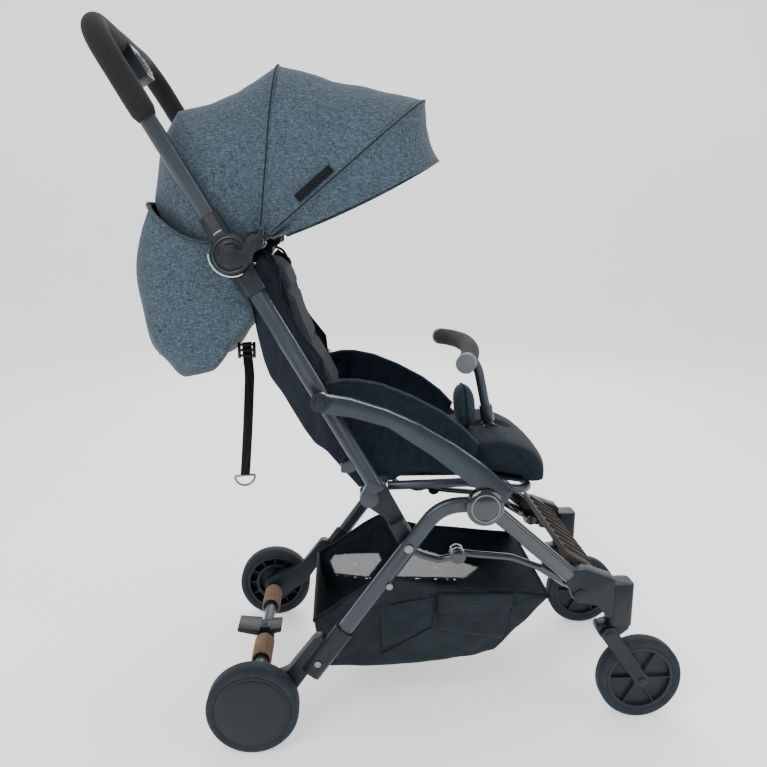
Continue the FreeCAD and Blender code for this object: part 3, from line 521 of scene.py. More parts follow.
def solid_between(name, outline, low, high, look, crown):
    """A closed form: an (x, z) outline across y from low to high, a little smaller at its two ends."""
    rows = []
    centre = sum((Vector((x, 0, z)) for x, z in outline), Vector()) / len(outline)
    for i in range(SOLID_STEPS + 1):
        t = i / SOLID_STEPS
        y = low + (high - low) * t
        edge = 1.0 - crown * (abs(2 * t - 1) ** 4)
        rows.append([spot(centre.x + (x - centre.x) * edge, y, centre.z + (z - centre.z) * edge)
                     for x, z in outline])
    vertices, faces = grid(rows, closed_across=True)
    close_ends(vertices, faces, len(outline))
    return made(name, vertices, faces, look)


CLOTH_FRAMES = 20


def stuffed(piece, voxel, pressure, cap):
    """Fills the form like a cushion: cloth under pressure, with each point held within the cap."""
    remesh = piece.modifiers.new("remesh", "REMESH")
    remesh.mode = "VOXEL"
    remesh.voxel_size = voxel
    settled(piece)
    rest = [v.co.copy() for v in piece.data.vertices]
    cloth = piece.modifiers.new("cloth", "CLOTH")
    cloth.settings.quality = 5
    cloth.settings.use_pressure = True
    cloth.settings.uniform_pressure_force = pressure
    cloth.settings.effector_weights.gravity = 0
    cloth.point_cache.frame_start = 1
    cloth.point_cache.frame_end = CLOTH_FRAMES
    for number in range(1, CLOTH_FRAMES + 1):
        bpy.context.scene.frame_set(number)
    settled(piece)
    bpy.context.scene.frame_set(1)
    for vertex, start in zip(piece.data.vertices, rest):
        move = vertex.co - start
        if move.length > cap:
            vertex.co = start + move * (cap / move.length)
    piece.data.update()
    smooth = piece.modifiers.new("even", "SMOOTH")
    smooth.factor = 0.5
    smooth.iterations = 3
    piece.modifiers.new("fine", "SUBSURF").levels = 1
    return settled(piece)


# ---- canopy --------------------------------------------------------------------------
# Angle from +X in degrees and radius in millimetres, from the canopy's pivot, of each line across the cloth.
# They are counted from the curtain's lower end in the pouch.
CANOPY_LINES = ((181.0, 140.0), (160.0, 172.0), (136.0, 205.0), (123.0, 221.0), (84.3, 252.0), (40.8, 315.0),
                (25.0, 289.0))
CANOPY_REAR_EDGE, CANOPY_MID, CANOPY_FRONT, CANOPY_END = 3, 4, 5, 6
# Rows of cloth between each line and the next, and how far the cloth sags there.
CANOPY_STEPS = (6, 8, 5, 16, 20, 12)
CANOPY_SAG = (0.0, 2.0, 0.0, 9.0, 3.5, 7.0)
REAR_EDGE_ANGLE = 123.0
FRONT_BOW_ANGLE = 41.0
CANOPY_HALF_WIDTH = 154.0
CANOPY_CORNER = 95.0
CANOPY_FOOT = 19.0
CANOPY_CROWN = 1.2


def arch_point(share, radius):
    """(distance from the pivot, y) at a share of the way over one arch of the canopy."""
    corner, half_width = CANOPY_CORNER, CANOPY_HALF_WIDTH
    straight = max(radius - corner - CANOPY_FOOT, 1.0)
    bend = corner * math.pi / 2
    total = 2 * (straight + bend + half_width - corner)
    s = share * total
    mirror = s > total / 2
    if mirror:
        s = total - s
    if s < straight:
        r, y = CANOPY_FOOT + s, half_width
    elif s < straight + bend:
        a = (s - straight) / corner
        r, y = radius - corner + corner * math.sin(a), half_width - corner + corner * math.cos(a)
    else:
        r, y = radius, half_width - corner - (s - straight - bend)
    y = max(y, 0.0)
    r -= CANOPY_CROWN * (y / half_width) ** 2 * min(1.0, r / radius)
    return r, (y if mirror else -y)


def canopy_spot(degrees, r, y):
    """A point at an angle and r from the canopy's pivot, and y to the left; r and y are in millimetres."""
    a = math.radians(degrees)
    return Vector((CANOPY_PIVOT.x + r / 1000 * math.cos(a), y / 1000,
                   CANOPY_PIVOT.z + r / 1000 * math.sin(a)))


def canopy_line(place):
    """(degrees, radius) at a place on the cloth, counted in lines: 4.5 is halfway between the two bows."""
    panel = min(int(place), len(CANOPY_LINES) - 2)
    t = place - panel
    (a0, r0), (a1, r1) = CANOPY_LINES[panel], CANOPY_LINES[panel + 1]
    angle = a0 + (a1 - a0) * t
    half = math.radians(abs(a1 - a0) / 2)
    chord = (r0 + (r1 - r0) * t) * math.cos(half) / math.cos(half * (1 - 2 * t))
    return angle, chord - CANOPY_SAG[panel] * math.sin(math.pi * t)


def canopy_row(place, across=96, lift=0.0):
    """One line across the cloth. Between bows the cloth pulls in, and it narrows into the pouch."""
    degrees, radius = canopy_line(place)
    hollow = math.sin(math.pi * (place - int(place))) if CANOPY_REAR_EDGE < place < CANOPY_END else 0.0
    narrow = 1.0 - 0.10 * max(0.0, 1.0 - place / 2.2)
    row = []
    for k in range(across + 1):
        r, y = arch_point(k / across, radius)
        side_share = min(1.0, abs(y) / CANOPY_HALF_WIDTH)
        lean = degrees
        if place > CANOPY_FRONT:
            lean -= 5.0 * max(0.0, 1.0 - r / 288.0) * (place - CANOPY_FRONT)
        y *= narrow * (1.0 - 0.035 * hollow * side_share ** 4)
        row.append(canopy_spot(lean, r + lift, y * (1 + lift / 150)))
    return row


def canopy_places(first, last):
    """Places of the rows of cloth from one line up to another, without the last."""
    return [panel + k / CANOPY_STEPS[panel] for panel in range(first, last)
            for k in range(CANOPY_STEPS[panel])]


def back_curtain():
    """Cloth from the hood's rear edge down into the pouch."""
    rows = [canopy_row(place) for place in canopy_places(0, CANOPY_REAR_EDGE) + [CANOPY_REAR_EDGE]]
    vertices, faces = grid(rows)
    curtain = made("canopy_curtain", vertices, faces, "canopy_fabric")
    wide = len(rows[0])

    def wave(vertex):
        p = vertex.co
        slack = 1.0 - (vertex.index // wide) / (len(rows) - 1)
        at = Vector((p.x, p.y * 0.7, p.z * 0.5)) / 0.045 + Vector((2.2, 8.1, 4.4))
        return slack * 0.0050 * noise.noise(at)
    pushed(curtain, wave)
    thicken_inward(curtain, 0.0016)
    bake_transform(curtain)


def canopy():
    """The hood as one sheet of cloth, from its rear edge over both bows to the visor's edge."""
    places = canopy_places(CANOPY_REAR_EDGE, CANOPY_END) + [CANOPY_END]
    slack = [math.sin(math.pi * (place - int(place))) for place in places[:-1]] + [0.25]
    rows = [canopy_row(place) for place in places]
    vertices, faces = grid(rows)
    hood = made("canopy_hood", vertices, faces, "canopy_fabric")
    wide = len(rows[0])

    def wrinkle(vertex):
        p, row = vertex.co, vertex.index // wide
        visor = 1.7 if places[row] > CANOPY_FRONT else 1.0
        broad = noise.noise(Vector((p.x, p.y * 0.5, p.z)) / 0.060 + Vector((3.1, 7.7, 5.3)))
        ridge = noise.noise(Vector((p.x * 1.3, p.y * 0.6, p.z * 0.8)) / 0.034 + Vector((9.3, 1.7, 4.1)))
        fine = noise.noise(p / 0.012)
        near_hub = min(1.0, (p - CANOPY_PIVOT).length / 0.16)
        return (slack[row] * near_hub * visor
                * (0.0042 * broad + 0.0020 * (1.0 - 2.0 * abs(ridge)) + 0.0006 * fine))
    pushed(hood, wrinkle)
    creased = {}
    for line in (CANOPY_MID, CANOPY_FRONT):
        start = places.index(line) * wide
        for k in range(start, start + wide - 1):
            creased[(k, k + 1)] = 0.9
    mesh = hood.data
    values = [creased.get(tuple(sorted(edge.vertices)), 0.0) for edge in mesh.edges]
    mesh.attributes.new("crease_edge", "FLOAT", "EDGE").data.foreach_set("value", values)
    thicken_inward(hood, 0.0018)
    trim = [rod("seam", canopy_row(place, 120, lift), radius / 1000, look) for place, radius, lift, look in (
        (CANOPY_MID, 3.9, -0.6, "canopy_fabric"), (CANOPY_MID, 1.1, 3.0, "dark_piping"),
        (CANOPY_FRONT, 3.7, -0.6, "canopy_fabric"), (CANOPY_FRONT, 1.1, 2.8, "dark_piping"),
        (CANOPY_END, 2.0, 0.3, "canopy_fabric"), (CANOPY_REAR_EDGE, 1.5, 0.2, "canopy_fabric"))]
    trim += [rod("stitch", canopy_row(place + step, 120, 0.9), 0.0006, "dark_piping", sides=6)
             for place in (CANOPY_MID, CANOPY_FRONT) for step in (-0.022, 0.022)]
    trim += [rod("edge", [row[end] for row in rows], 0.0016, "canopy_fabric") for end in (0, -1)]
    seams = joined_mesh("canopy_seams", trim)
    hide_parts("canopy_rear_panel", "canopy_mid_panel", "canopy_visor")
    start, end = (canopy_spot(angle, 190.0, 0) for angle in (REAR_EDGE_ANGLE, FRONT_BOW_ANGLE))
    for piece in (hood, seams):
        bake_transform(piece)


def canopy_label():
    """Blank woven label sewn beside the front piping, on the right side."""
    a = math.radians(FRONT_BOW_ANGLE)
    way, up = Vector((math.cos(a), 0, math.sin(a))), Vector((-math.sin(a), 0, math.cos(a)))
    rows = []
    for i in range(13):
        row = []
        for k in range(5):
            p = CANOPY_PIVOT + way * (0.080 + 0.064 * i / 12) + up * (0.0055 + 0.0115 * k / 4)
            row.append(Vector((p.x, -(CANOPY_HALF_WIDTH + 2.4) / 1000, p.z)))
        rows.append(row)
    vertices, faces = grid(rows)
    thicken(made("canopy_label", vertices, faces, "webbing", "canopy_front"), 0.0012)


# ---- back pouch ----------------------------------------------------------------------
# (rear x, rear z, front x, front z, sag of the side edge) of each level, from the rim down
POUCH_LEVELS = (
    (-141, 811, -50, 757, 13), (-147, 786, -38, 737, 8), (-150, 760, -25, 715, 4), (-153, 730, -8, 690, 2),
    (-154, 700, 5, 670, 0), (-152, 672, 9, 655, 0), (-150, 650, 8, 645, 0), (-147, 630, -4, 634, 0),
    (-143, 610, -16, 624, 0), (-134, 596, -26, 612, 0), (-124, 584, -34, 601, 0), (-111, 573, -43, 589, 0),
    (-97, 564, -54, 577, 0))
POUCH_HALF_WIDTH = 148.0
POUCH_CORNER = 46.0
# levels that the lining covers, and points of a row up to the end of its second rear corner
POUCH_LINED = 9
POUCH_OUTSIDE = 51
# folds of the bag's sides, each from one (x, z) to another
POUCH_FOLDS = ((-88, 700, -30, 668), (-30, 668, -2, 690), (-60, 640, -20, 660), (-128, 690, -96, 636),
               (-112, 610, -76, 590), (-138, 650, -118, 600), (-64, 742, -84, 700))


def pouch_row(level, inset=0.0):
    """One level of the bag, seen from above: the right side, the back, the left side, then the front."""
    rear_x, rear_z, front_x, front_z, sag = level
    rear, front = Vector((rear_x, rear_z)), Vector((front_x, front_z))
    depth = max((front - rear).length - 2 * inset, 4.0)
    forward = (front - rear).normalized()
    start = rear + forward * inset
    half = POUCH_HALF_WIDTH - inset
    corner = min(POUCH_CORNER, depth * 0.45)
    steps = 10
    turns = [math.pi / 2 * k / steps for k in range(steps + 1)]
    plan = [(depth - (depth - corner) * k / steps, -half) for k in range(steps + 1)]
    plan += [(corner - corner * math.sin(a), -half + corner - corner * math.cos(a)) for a in turns[1:]]
    plan += [(0.0, (half - corner) * (k / steps - 1)) for k in range(1, 2 * steps)]
    plan += [(corner - corner * math.cos(a), half - corner + corner * math.sin(a)) for a in turns]
    plan += [(corner + (depth - corner) * k / steps, half) for k in range(1, steps + 1)]
    plan += [(depth, half * (1 - k / steps)) for k in range(1, 2 * steps)]
    row = []
    for d, y in plan:
        share = d / depth
        bulge = 7.0 * (1 - (y / half) ** 2) * (1 - share)
        p = start + forward * (d - bulge)
        row.append(spot(p.x, y, p.y - sag * 4 * share * (1 - share)))
    return row


def pouch():
    """Slack bag behind the backrest, open at the top, with its lining and rim."""
    outer = [pouch_row(level) for level in reversed(POUCH_LEVELS)]
    low = sum(outer[0], Vector()) / len(outer[0])
    bottom = [[p + (low - p) * t + Vector((0, 0, -0.003 * t)) for p in outer[0]]
              for t in (1.0, 0.8, 0.5, 0.25)]
    vertices, faces = grid(bottom + outer, closed_across=True)
    bag = made("back_pouch_shell", vertices, faces, "canopy_fabric")
    ruffled(bag, 0.085, 0.0105, 3, (1.0, 0.6, 1.3))
    ruffled(bag, 0.034, 0.0045, 4, (1.2, 0.6, 1.6))
    for ax, az, bx, bz in POUCH_FOLDS:
        start, end = spot(ax, 0, az).xz, spot(bx, 0, bz).xz

        def from_fold(p, start=start, end=end):
            here, run = p.xz, end - start
            t = max(0.0, min(1.0, (here - start).dot(run) / run.length_squared))
            return (here - start - run * t).length + max(0.0, 0.09 - abs(p.y))
        channel(bag, from_fold, 0.0055, 0.0065)
    ruffled(bag, 0.012, 0.0008, 8)
    thicken_inward(bag, 0.002)
    inner = [pouch_row(level, 7.0 + 1.5 * k if k else 2.6)
             for k, level in enumerate(POUCH_LEVELS[:POUCH_LINED])]
    low = sum(inner[-1], Vector()) / len(inner[-1])
    inner += [[p + (low - p) * t for p in inner[-1]] for t in (0.4, 0.75, 0.98)]
    vertices, faces = grid(inner, closed_across=True)
    lining = made("pouch_lining", vertices, [tuple(reversed(f)) for f in faces], "seat_fabric")
    ruffled(lining, 0.05, 0.0016, 5)
    rim = pouch_row(POUCH_LEVELS[0], 0.8)
    rim_tape = rod("pouch_rim", rim, 0.0031, "canopy_fabric", closed=True, sides=8)
    for vertex in rim_tape.data.vertices:
        vertex.co.z += 0.0012
    seams = [rod("pouch_seam", pouch_row(POUCH_LEVELS[k], -0.4)[:POUCH_OUTSIDE], 0.0011, "canopy_fabric")
             for k in (4, 9)]
    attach(bag, "backrest")
    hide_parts("back_pouch")
    trim = joined_mesh("back_pouch_trim", [lining, rim_tape] + seams, "backrest")


# ---- seat ----------------------------------------------------------------------------
# (x, z) outlines of the two cushions, seen from the side, and the piped side edge of the backrest
BACK_OUTLINE = ((36, 742), (52, 700), (67, 650), (92, 590), (122, 535), (152, 470), (158, 446), (152, 424),
                (142, 418), (131, 424), (118, 450), (88, 508), (56, 566), (30, 618), (10, 672), (0, 724),
                (12, 744))
BACK_EDGE = ((141, 432), (148, 452), (120, 532), (90, 590), (65, 652), (50, 702), (36, 738), (22, 748))
CUSHION_OUTLINE = ((157, 412), (240, 410), (330, 409), (400, 400), (430, 394), (452, 382), (470, 386),
                   (468, 412), (452, 434), (425, 446), (395, 452), (330, 443), (250, 440), (200, 438),
                   (160, 445))


def densified(outline, step=12.0):
    """The outline with points added, so that none is further than about a step from the next."""
    out = []
    for i, a in enumerate(outline):
        b = outline[(i + 1) % len(outline)]
        count = max(1, round(math.dist(a, b) / step))
        out += [(a[0] + (b[0] - a[0]) * k / count, a[1] + (b[1] - a[1]) * k / count) for k in range(count)]
    return out


def backrest():
    """Padded back with stitched channels across and a piped edge."""
    pad = solid_between("backrest_cushion", densified(BACK_OUTLINE), -126.0, 126.0, "seat_fabric", 0.10)
    pad = stuffed(pad, 0.006, 3.0, 0.006)
    slope = (spot(150, 0, 460) - spot(36, 0, 742)).normalized()
    outward = Vector((-slope.z, 0, slope.x))
    for seam in (spot(60, 0, 684), spot(92, 0, 600), spot(130, 0, 520)):
        def away(p, seam=seam):
            return abs((p - seam).dot(slope)) + max(0.0, -(p - seam).dot(outward)) * 4
        channel(pad, away, 0.006, 0.006)
    for y in (-0.088, 0.088):
        channel(pad, lambda p, y=y: abs(p.y - y), 0.004, 0.004)
    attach(pad, "backrest")
    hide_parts("backrest_pad")
    binding = [rod("back_binding", smooth_path([spot(x, y, z) for x, z in BACK_EDGE], 5), 0.0022, "webbing")
               for y in (-124.5, 124.5)]
    joined_mesh("backrest_binding", binding, "backrest")


def cushion():
    """Seat cushion with two seams across and a dimple round the bumper post."""
    pad = solid_between("seat_pad", densified(CUSHION_OUTLINE), -124.0, 124.0, "seat_fabric", 0.08)
    pad = stuffed(pad, 0.006, 3.5, 0.006)
    for x in (225, 300):
        channel(pad, lambda p, x=x: abs(p.x - spot(x, 0, 0).x) + max(0.0, 0.425 - p.z) * 4, 0.005, 0.006)
    post = spot(389, 0, 0)

    def from_post(p):
        return max(0.0, math.hypot((p.x - post.x) * 0.75, p.y * 1.1) - 0.02) + max(0.0, 0.43 - p.z) * 3
    channel(pad, from_post, 0.006, 0.008)
    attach(pad, "seat")
    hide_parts("seat_cushion")


WING_TOP = ((112, 552), (135, 558), (160, 558), (195, 551), (240, 533), (287, 508), (320, 483), (344, 458))
WING_BOTTOM = ((112, 520), (128, 476), (150, 440), (176, 416), (213, 410), (262, 416), (305, 413), (338, 432))


def along(curve, t):
    """The point at share t of the length of a line through (x, z) points."""
    points = [Vector(p) for p in curve]
    lengths = [(b - a).length for a, b in zip(points, points[1:])]
    left = t * sum(lengths)
    for a, b, length in zip(points, points[1:], lengths):
        if left <= length or b is points[-1]:
            return a + (b - a) * min(1.0, left / length)
        left -= length
    return points[-1]


def cloth_between(top, bottom, y_at, across, down):
    """Rows of points from one (x, z) line to another, each at y_at(share along, share down)."""
    uppers, lowers = ([along(curve, k / across) for k in range(across + 1)] for curve in (top, bottom))
    rows = []
    for i in range(down + 1):
        v = i / down
        points = [a * (1 - v) + b * v for a, b in zip(uppers, lowers)]
        rows.append([spot(p.x, y_at(k / across, v), p.y) for k, p in enumerate(points)])
    return rows


def seat_wing(side_name, side):
    """Side of the seat: gathered cloth that stands up beside the child, with a piped top edge."""
    def y_at(u, v):
        pleats = 2.4 * math.sin(2 * math.pi * (u * 7.5 + 0.15 * math.sin(9 * u))) * (1 - v) * v * 3.2
        return side * (137.5 + 4.0 * math.sin(math.pi * v) + pleats)
    rows = cloth_between(WING_TOP, WING_BOTTOM, y_at, 80, 18)
    vertices, faces = grid(rows)
    wing = made(f"seat_wing_{side_name}", vertices, faces, "seat_fabric")
    ruffled(wing, 0.03, 0.0022, 6 + side)
    thicken(wing, 0.0035, 1)
    piping = rod("wing_piping", [p + Vector((0, 0, 0.001)) for p in rows[0]], 0.0023, "pad_fabric")
    hem = rod("wing_hem", rows[-1], 0.0018, "seat_fabric")
    trim = joined_mesh(f"seat_wing_trim_{side_name}", [piping, hem], "seat")
    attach(wing, "seat")
    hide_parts(f"seat_side_{side_name}")


PANEL_REAR = ((17, 738), (2, 704), (7, 668), (9, 640), (20, 590), (29, 564), (45, 541), (78, 484),
              (94, 460), (111, 449), (163, 388))
PANEL_FRONT = ((22, 742), (45, 725), (47, 681), (77, 626), (106, 589), (111, 548), (127, 488), (146, 452),
               (160, 428), (172, 410), (178, 396))


def side_panel(side_name, side):
    """Thin nylon side that joins the backrest to the seat, with a bound front edge."""
    def y_at(u, v):
        return side * (130.5 + 3.5 * math.sin(math.pi * v) * math.sin(math.pi * min(1.0, u * 1.4)))
    rows = cloth_between(PANEL_FRONT, PANEL_REAR, y_at, 60, 12)
    vertices, faces = grid(rows)
    panel = made(f"side_panel_{side_name}", vertices, faces, "nylon")
    ruffled(panel, 0.028, 0.0032, 9 + side, (1.6, 1, 0.7))
    thicken(panel, 0.0012, 1)
    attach(panel, "backrest")
    edge = rod("panel_edge", rows[0], 0.0026, "webbing")
    binding = joined_mesh(f"side_panel_binding_{side_name}", [edge], "backrest")


def crotch_pad():
    """Small heathered pad on the bumper post, with a seam round its edge."""
    centre = middle("crotch_pad")
    tilt = Quaternion((0, 1, 0), math.radians(-6))

    def pad_ring(count, x, half_y, half_z, power=3.2):
        """A ring between a circle and a square, tilted with the post."""
        points = []
        for c, s in circle(count):
            out = (abs(c) ** power + abs(s) ** power) ** (-1 / power)
            points.append(centre + tilt @ Vector((x, half_y * c * out, half_z * s * out)))
        return points
    rows = []
    for i in range(15):
        v = -1 + 2 * i / 14
        share = max((1 - abs(v) ** 2.6) ** 0.5, 0.02)
        rows.append(pad_ring(36, 0.0185 * v, 0.033 * share, 0.0365 * share))
    vertices, faces = grid(rows, closed_across=True)
    close_ends(vertices, faces, 36)
    pad = made("crotch_cushion", vertices, faces, "pad_fabric")
    pad = stuffed(pad, 0.003, 3.0, 0.003)
    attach(pad, "seat")
    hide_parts("crotch_pad")
    rod("crotch_seam", pad_ring(48, 0, 0.0335, 0.037), 0.0017, "seat_fabric", "seat", closed=True)


# ---- basket --------------------------------------------------------------------------
BASKET_FLOOR = ((91, 164), (97, 128), (105, 92), (116, 84), (175, 83), (245, 85), (310, 91), (350, 97),
                (384, 107), (410, 135), (440, 165), (470, 198))
BASKET_TOP = ((91, 166), (118, 183), (150, 205), (178, 224), (205, 239), (228, 234), (262, 225), (296, 217),
              (340, 213), (385, 209), (430, 204), (470, 199))
MESH_WINDOWS = (((122, 162), (112, 146), (121, 119), (188, 110), (214, 146), (207, 162)),
                ((284, 172), (240, 110), (378, 104), (406, 128)))
POCKET = ((292, 176), (292, 149), (300, 146), (390, 129), (397, 133), (405, 182), (400, 186), (298, 181))
FLAP = ((290, 208), (290, 180), (300, 176), (400, 180), (408, 184), (411, 205), (400, 206))
STITCHED = ((195, 188), (288, 203), (280, 150), (199, 104))
BASKET_HALF = 129.0


def inside(x, z, outline):
    """Whether an (x, z) point is inside an outline."""
    crossings = 0
    for (ax, az), (bx, bz) in zip(outline, outline[1:] + outline[:1]):
        if (az > z) != (bz > z) and x < ax + (bx - ax) * (z - az) / (bz - az):
            crossings += 1
    return crossings % 2 == 1


def basket_wall(side):
    """Side of the basket and its rim; the left side is cut away where its net windows are."""
    def y_at(u, v):
        bulge = math.sin(math.pi * v) - (1 - v) * math.sin(3 * math.pi * u) ** 2
        return side * (BASKET_HALF + 3.0 * bulge)
    rows = cloth_between(BASKET_TOP, BASKET_FLOOR, y_at, 100, 30)
    vertices, faces = grid(rows)

    def in_window(face):
        centre = sum((vertices[i] for i in face), Vector()) / len(face)
        return any(inside((centre.x - AXLE.x) * 1000, centre.z * 1000, window) for window in MESH_WINDOWS)
    if side == LEFT:
        faces = [face for face in faces if not in_window(face)]
    wall = made("basket_wall", vertices, faces, "basket_fabric")
    ruffled(wall, 0.035, 0.0026, 12 + side)
    return thicken(wall, 0.0014), rod("basket_rim", rows[0], 0.003, "webbing")


def flat_patch(outline, y, look, thickness):
    """A flat piece of cloth with an (x, z) outline against a side wall."""
    points = densified(outline, 5.0)
    centre = sum((Vector(p) for p in points), Vector((0, 0))) / len(points)
    rings = []
    for share in (1.03, 0.8, 0.55, 0.3, 0.02):
        rings.append([spot(centre.x + (p[0] - centre.x) * share, y + math.copysign(1.2 * (1 - share), y),
                           centre.y + (p[1] - centre.y) * share) for p in points])
    vertices, faces = grid(rings, closed_across=True)
    return thicken(made("patch", vertices, faces, look), thickness)


def side_line(outline, y, radius, sides):
    """A thin cord round an (x, z) outline against a side wall."""
    line = [spot(x, y, z) for x, z in densified(outline, 8.0)]
    return rod("side_line", line, radius, "webbing", closed=True, sides=sides)


def basket():
    """Cloth tray slung between the rear legs and the front links: sagging floor, bound rims, net windows."""
    rows = []
    for k in range(101):
        p = along(BASKET_FLOOR, k / 100)
        flat = max(0.0, math.sin(math.pi * k / 100)) ** 0.7
        shares = [2 * i / 30 - 1 for i in range(31)]
        rows.append([spot(p.x, t * (BASKET_HALF + 0.5), p.y + flat * (5.0 * abs(t) ** 6 - 3.0 * (1 - t * t)))
                     for t in shares])
    vertices, faces = grid(rows)
    tray = made("basket_tray", vertices, faces, "basket_fabric")
    ruffled(tray, 0.05, 0.003, 20)
    thicken(tray, 0.0014, 1)
    cloth = [tray]
    pieces = [rod("rim", row, 0.003, "webbing") for row in (rows[-1], rows[0])]
    for _, side in SIDES:
        wall, rim = basket_wall(side)
        cloth.append(wall)
        pieces.append(rim)
    for outline in MESH_WINDOWS:
        pieces += [flat_patch(outline, BASKET_HALF + 1.0, "net", 0.0005),
                   side_line(outline, BASKET_HALF + 3.4, 0.0018, 8)]
    pieces += [flat_patch(POCKET, -BASKET_HALF - 4.6, "basket_fabric", 0.0016),
               flat_patch(FLAP, -BASKET_HALF - 5.4, "basket_fabric", 0.0018),
               side_line(STITCHED, -BASKET_HALF - 3.4, 0.0011, 6)]
    sling = joined_mesh("basket_sling", cloth, "rear_frame")
    trim = joined_mesh("basket_trim", pieces, "rear_frame")
    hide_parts("basket")
    for piece in (sling, trim):
        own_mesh(piece)


# ---- straps --------------------------------------------------------------------------
STRAP_LINE = ((-20, 596), (-19, 570), (-17, 540), (-19, 500), (-22, 450), (-26, 400), (-29, 366))


def recline_strap():
    """Recline strap that hangs behind the backrest, with its ladder lock and D-ring."""
    line = smooth_path([spot(x, 1.5 * math.sin(z / 40), z) for x, z in STRAP_LINE], 8)
    strap = tape("strap_webbing", line, 0.016, 0.0016, (0.97, 0.24, 0), "webbing", "backrest")
    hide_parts("recline_strap")
    lock = [rod("bar", [spot(-20 + x, 0.2 * x - 1, z) for x in (-12, -6, 0, 6, 12)], 0.0021, "black_plastic")
            for z in (592, 583, 574)]
    lock += [rod("cheek", [spot(-20 + x, 0.2 * x - 1, z) for z in (596, 583, 570)], 0.0027, "black_plastic")
             for x in (-12, 12)]
    lock = joined_mesh("strap_ladder_lock", lock, "backrest")
    ring_line = [spot(-29, 0, 367)]
    for k in range(25):
        a = math.pi * (1 + k / 24)
        ring_line.append(spot(-29 + 16.5 * math.cos(a), 4.0 * math.cos(a), 366 + 17.0 * math.sin(a)))
    ring = rod("strap_ring", ring_line, 0.0020, "steel", "backrest", closed=True)


# ---- grips and small parts -----------------------------------------------------------
GRIP_SIDES = 28
GRIP_END_ROUND = 0.006


def foam_grip(name, points, radius, body, node):
    """Foam sleeve: a slightly uneven tube with rolled ends."""
    count = len(points)
    total = sum((b - a).length for a, b in zip(points, points[1:]))
    rows, walked = [], 0.0
    for i in range(count):
        if i:
            walked += (points[i] - points[i - 1]).length
        before, after = points[max(i - 1, 0)], points[min(i + 1, count - 1)]
        direction = (after - before).normalized()
        u = Vector((0, 0, 1)).cross(direction).normalized()
        v = direction.cross(u)
        end = min(walked, total - walked)
        swell = radius * (math.sqrt(max(0.0, 1 - (1 - min(end / GRIP_END_ROUND, 1.0)) ** 2)) * 0.22 + 0.78)
        swell *= 1 + 0.012 * math.sin(walked * 70)
        rows.append([points[i] + (u * c + v * s) * swell for c, s in circle(GRIP_SIDES)])
    vertices, faces = grid(rows, closed_across=True)
    close_ends(vertices, faces, GRIP_SIDES)
    grip = made(name, vertices, faces, "grip_foam", body)
    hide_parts(node)


def pivot_circle(pivot, radius, y, count):
    """A circle about a pivot, in a plane of one y."""
    return [Vector((pivot.x + x, y, pivot.z + z)) for x, z in circle(count, radius)]


HANDLE_SLOPE = math.radians(120.8)
HANDLE_WAY = Vector((math.cos(HANDLE_SLOPE), 0, math.sin(HANDLE_SLOPE)))
# metres: the handle's half width, its reach from the hub, its corner radius, and where its foam begins
HANDLE_HALF, HANDLE_REACH, HANDLE_CORNER, FOAM_START = 0.1755, 0.354, 0.062, 0.206


def small_parts():
    """Rings moulded in the hubs, the handle's steel collars and the pale shim behind each hub."""
    hub_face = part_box("upper_hub_covers")[1][1]
    pin_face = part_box("fold_hub_pins")[1][1]
    for side_name, side in SIDES:
        rings = [rod("ring", pivot_circle(UPPER_HUB, radius, side * hub_face, 48), thickness, "gloss_black",
                     closed=True, sides=8)
                 for radius, thickness in ((0.0235, 0.0013), (0.0165, 0.0011), (0.0095, 0.0012))]
        joined_mesh(f"upper_hub_rings_{side_name}", rings, "handle")
        place = UPPER_HUB + HANDLE_WAY * 0.034
        across = Vector((-HANDLE_WAY.z, 0, HANDLE_WAY.x))
        collar = [place + across * 0.0132 * c + Vector((0, side * HANDLE_HALF + 0.0086 * s, 0))
                  for c, s in circle(40)]
        rod(f"handle_collar_{side_name}", collar, 0.0022, "steel", "handle", closed=True)
        arc = [UPPER_HUB + Vector((0.0305 * math.cos(a), side * 0.1875, 0.0305 * math.sin(a)))
               for a in map(math.radians, range(180, 301, 8))]
        tape(f"hub_shim_{side_name}", arc, 0.007, 0.0016, (0, 1, 0), "mint_plastic", "upper_frame")
        ring = pivot_circle(FOLD_HUB, 0.0205, side * (pin_face + 0.0002), 60)
        rod(f"fold_hub_ring_{side_name}", ring, 0.0011, "steel", "rear_frame", closed=True, sides=8)


def bumper_grip():
    """Foam over the bumper's cross grip, which bows a little forward and up in the middle."""
    line = []
    for k in range(91):
        t = 1 - 2 * k / 90
        line.append(spot(345.0 - 22.0 * t * t, 139.0 * t, 592.0 - 6.0 * t * t))
    foam_grip("bumper_foam", line, 0.0145, "bumper", "bumper_grip")


def handle_grip():
    """Foam over the top of the push handle, from one side round both corners to the other."""
    half, reach, corner = HANDLE_HALF, HANDLE_REACH, HANDLE_CORNER
    turns = [math.pi / 2 * k / 14 for k in range(1, 15)]
    line = [(FOAM_START + (reach - corner - FOAM_START) * k / 8, half) for k in range(9)]
    line += [(reach - corner + corner * math.sin(a), half - corner + corner * math.cos(a)) for a in turns]
    line += [(reach, (half - corner) * (1 - k / 12)) for k in range(1, 13)]
    line += [(d, -y) for d, y in reversed(line[:-1])]
    points = [UPPER_HUB + HANDLE_WAY * d + Vector((0, y, 0)) for d, y in line]
    foam_grip("handle_foam", points, 0.0168, "handle", "handle_grip")



canopy()
back_curtain()
canopy_label()
pouch()
backrest()
cushion()
for side_name, side in SIDES:
    seat_wing(side_name, side)
    side_panel(side_name, side)
crotch_pad()
basket()
recline_strap()
bumper_grip()
handle_grip()
small_parts()


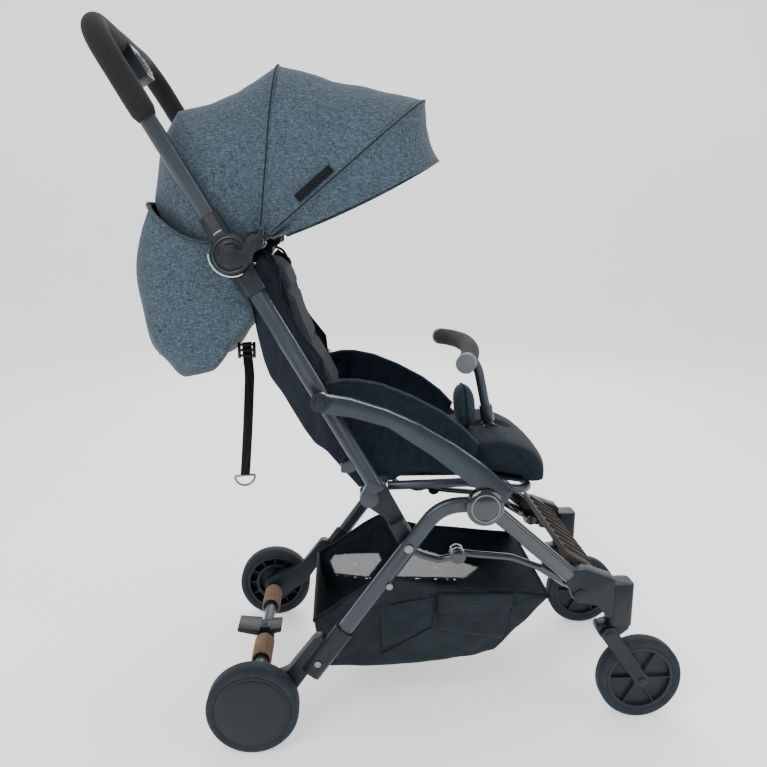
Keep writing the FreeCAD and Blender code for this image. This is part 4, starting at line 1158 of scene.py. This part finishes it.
# ---- camera, light and floor ---------------------------------------------------------
CAMERA_PLACE = spot(134, -1251, 782)
CAMERA_YAW = math.radians(3.31)
CAMERA_PITCH = math.radians(11.57)
CAMERA_ROLL = math.radians(0.44)
CAMERA_LENS = 35.67


def set_camera():
    camera = placed("camera", bpy.data.cameras.new("camera"))
    forward = Vector((math.sin(CAMERA_YAW) * math.cos(CAMERA_PITCH),
                      math.cos(CAMERA_YAW) * math.cos(CAMERA_PITCH),
                      -math.sin(CAMERA_PITCH)))
    level = forward.cross(Vector((0, 0, 1))).normalized()
    upright = level.cross(forward)
    right = level * math.cos(CAMERA_ROLL) + upright * math.sin(CAMERA_ROLL)
    up = upright * math.cos(CAMERA_ROLL) - level * math.sin(CAMERA_ROLL)
    camera.matrix_world = Matrix((
        (right.x, up.x, -forward.x, CAMERA_PLACE.x),
        (right.y, up.y, -forward.y, CAMERA_PLACE.y),
        (right.z, up.z, -forward.z, CAMERA_PLACE.z),
        (0, 0, 0, 1)))
    camera.data.sensor_width = 36.0
    camera.data.lens = CAMERA_LENS
    camera.data.clip_end = 50.0
    bpy.context.scene.camera = camera


def area_light(name, place, target, size, power):
    light = bpy.data.lights.new(name, "AREA")
    light.shape = "RECTANGLE"
    light.size, light.size_y = size
    light.energy = power
    lamp = placed(name, light)
    lamp.location = place
    lamp.rotation_euler = (Vector(target) - Vector(place)).to_track_quat("-Z", "Y").to_euler()


def set_lights():
    world = bpy.data.worlds.new("studio")
    bpy.context.scene.world = world
    world.use_nodes = True
    background = world.node_tree.nodes["Background"]
    background.inputs["Color"].default_value = (0.97, 0.98, 1.0, 1)
    background.inputs["Strength"].default_value = 0.6
    target = (0, 0, 0.5)
    area_light("key", (-1.6, -2.4, 2.6), target, (1.8, 1.8), 75)
    area_light("fill", (2.6, -1.8, 1.6), target, (2.0, 2.0), 32)
    area_light("top", (0.2, 0.6, 3.2), target, (2.4, 2.4), 45)
    area_light("back", (0.4, 3.0, 1.8), target, (2.4, 1.6), 30)


def set_floor():
    """A pale floor that curves up into a pale backdrop."""
    bend, turns = 1.8, [math.pi / 2 * k / 16 for k in range(1, 17)]
    line = [(-6.0, 0.0), (-3.0, 0.0), (0.0, 0.0), (3.0, 0.0)]
    line += [(3.0 + bend * math.sin(a), bend - bend * math.cos(a)) for a in turns]
    line.append((3.0 + bend, 7.0))
    rows = [[Vector((x, y, z)) for x in (-9.0, -3.0, 3.0, 9.0)] for y, z in line]
    vertices, faces = grid(rows)
    mesh = bpy.data.meshes.new("floor")
    mesh.from_pydata([tuple(v) for v in vertices], [], faces)
    mesh.shade_smooth()
    floor = placed("floor", mesh)
    s = Shader("floor_paint", 0.75, Emission_Color=(1.0, 1.0, 1.0, 1.0), Emission_Strength=0.6)
    s.colour(s.ramp(s.noise(3.0, 2.0), (0.3, 0.86), (0.7, 0.89)))
    s.bump(s.noise(400.0, 2.0), 0.03, 0.0005)
    mesh.materials.append(s.material)


set_camera()
set_lights()
set_floor()
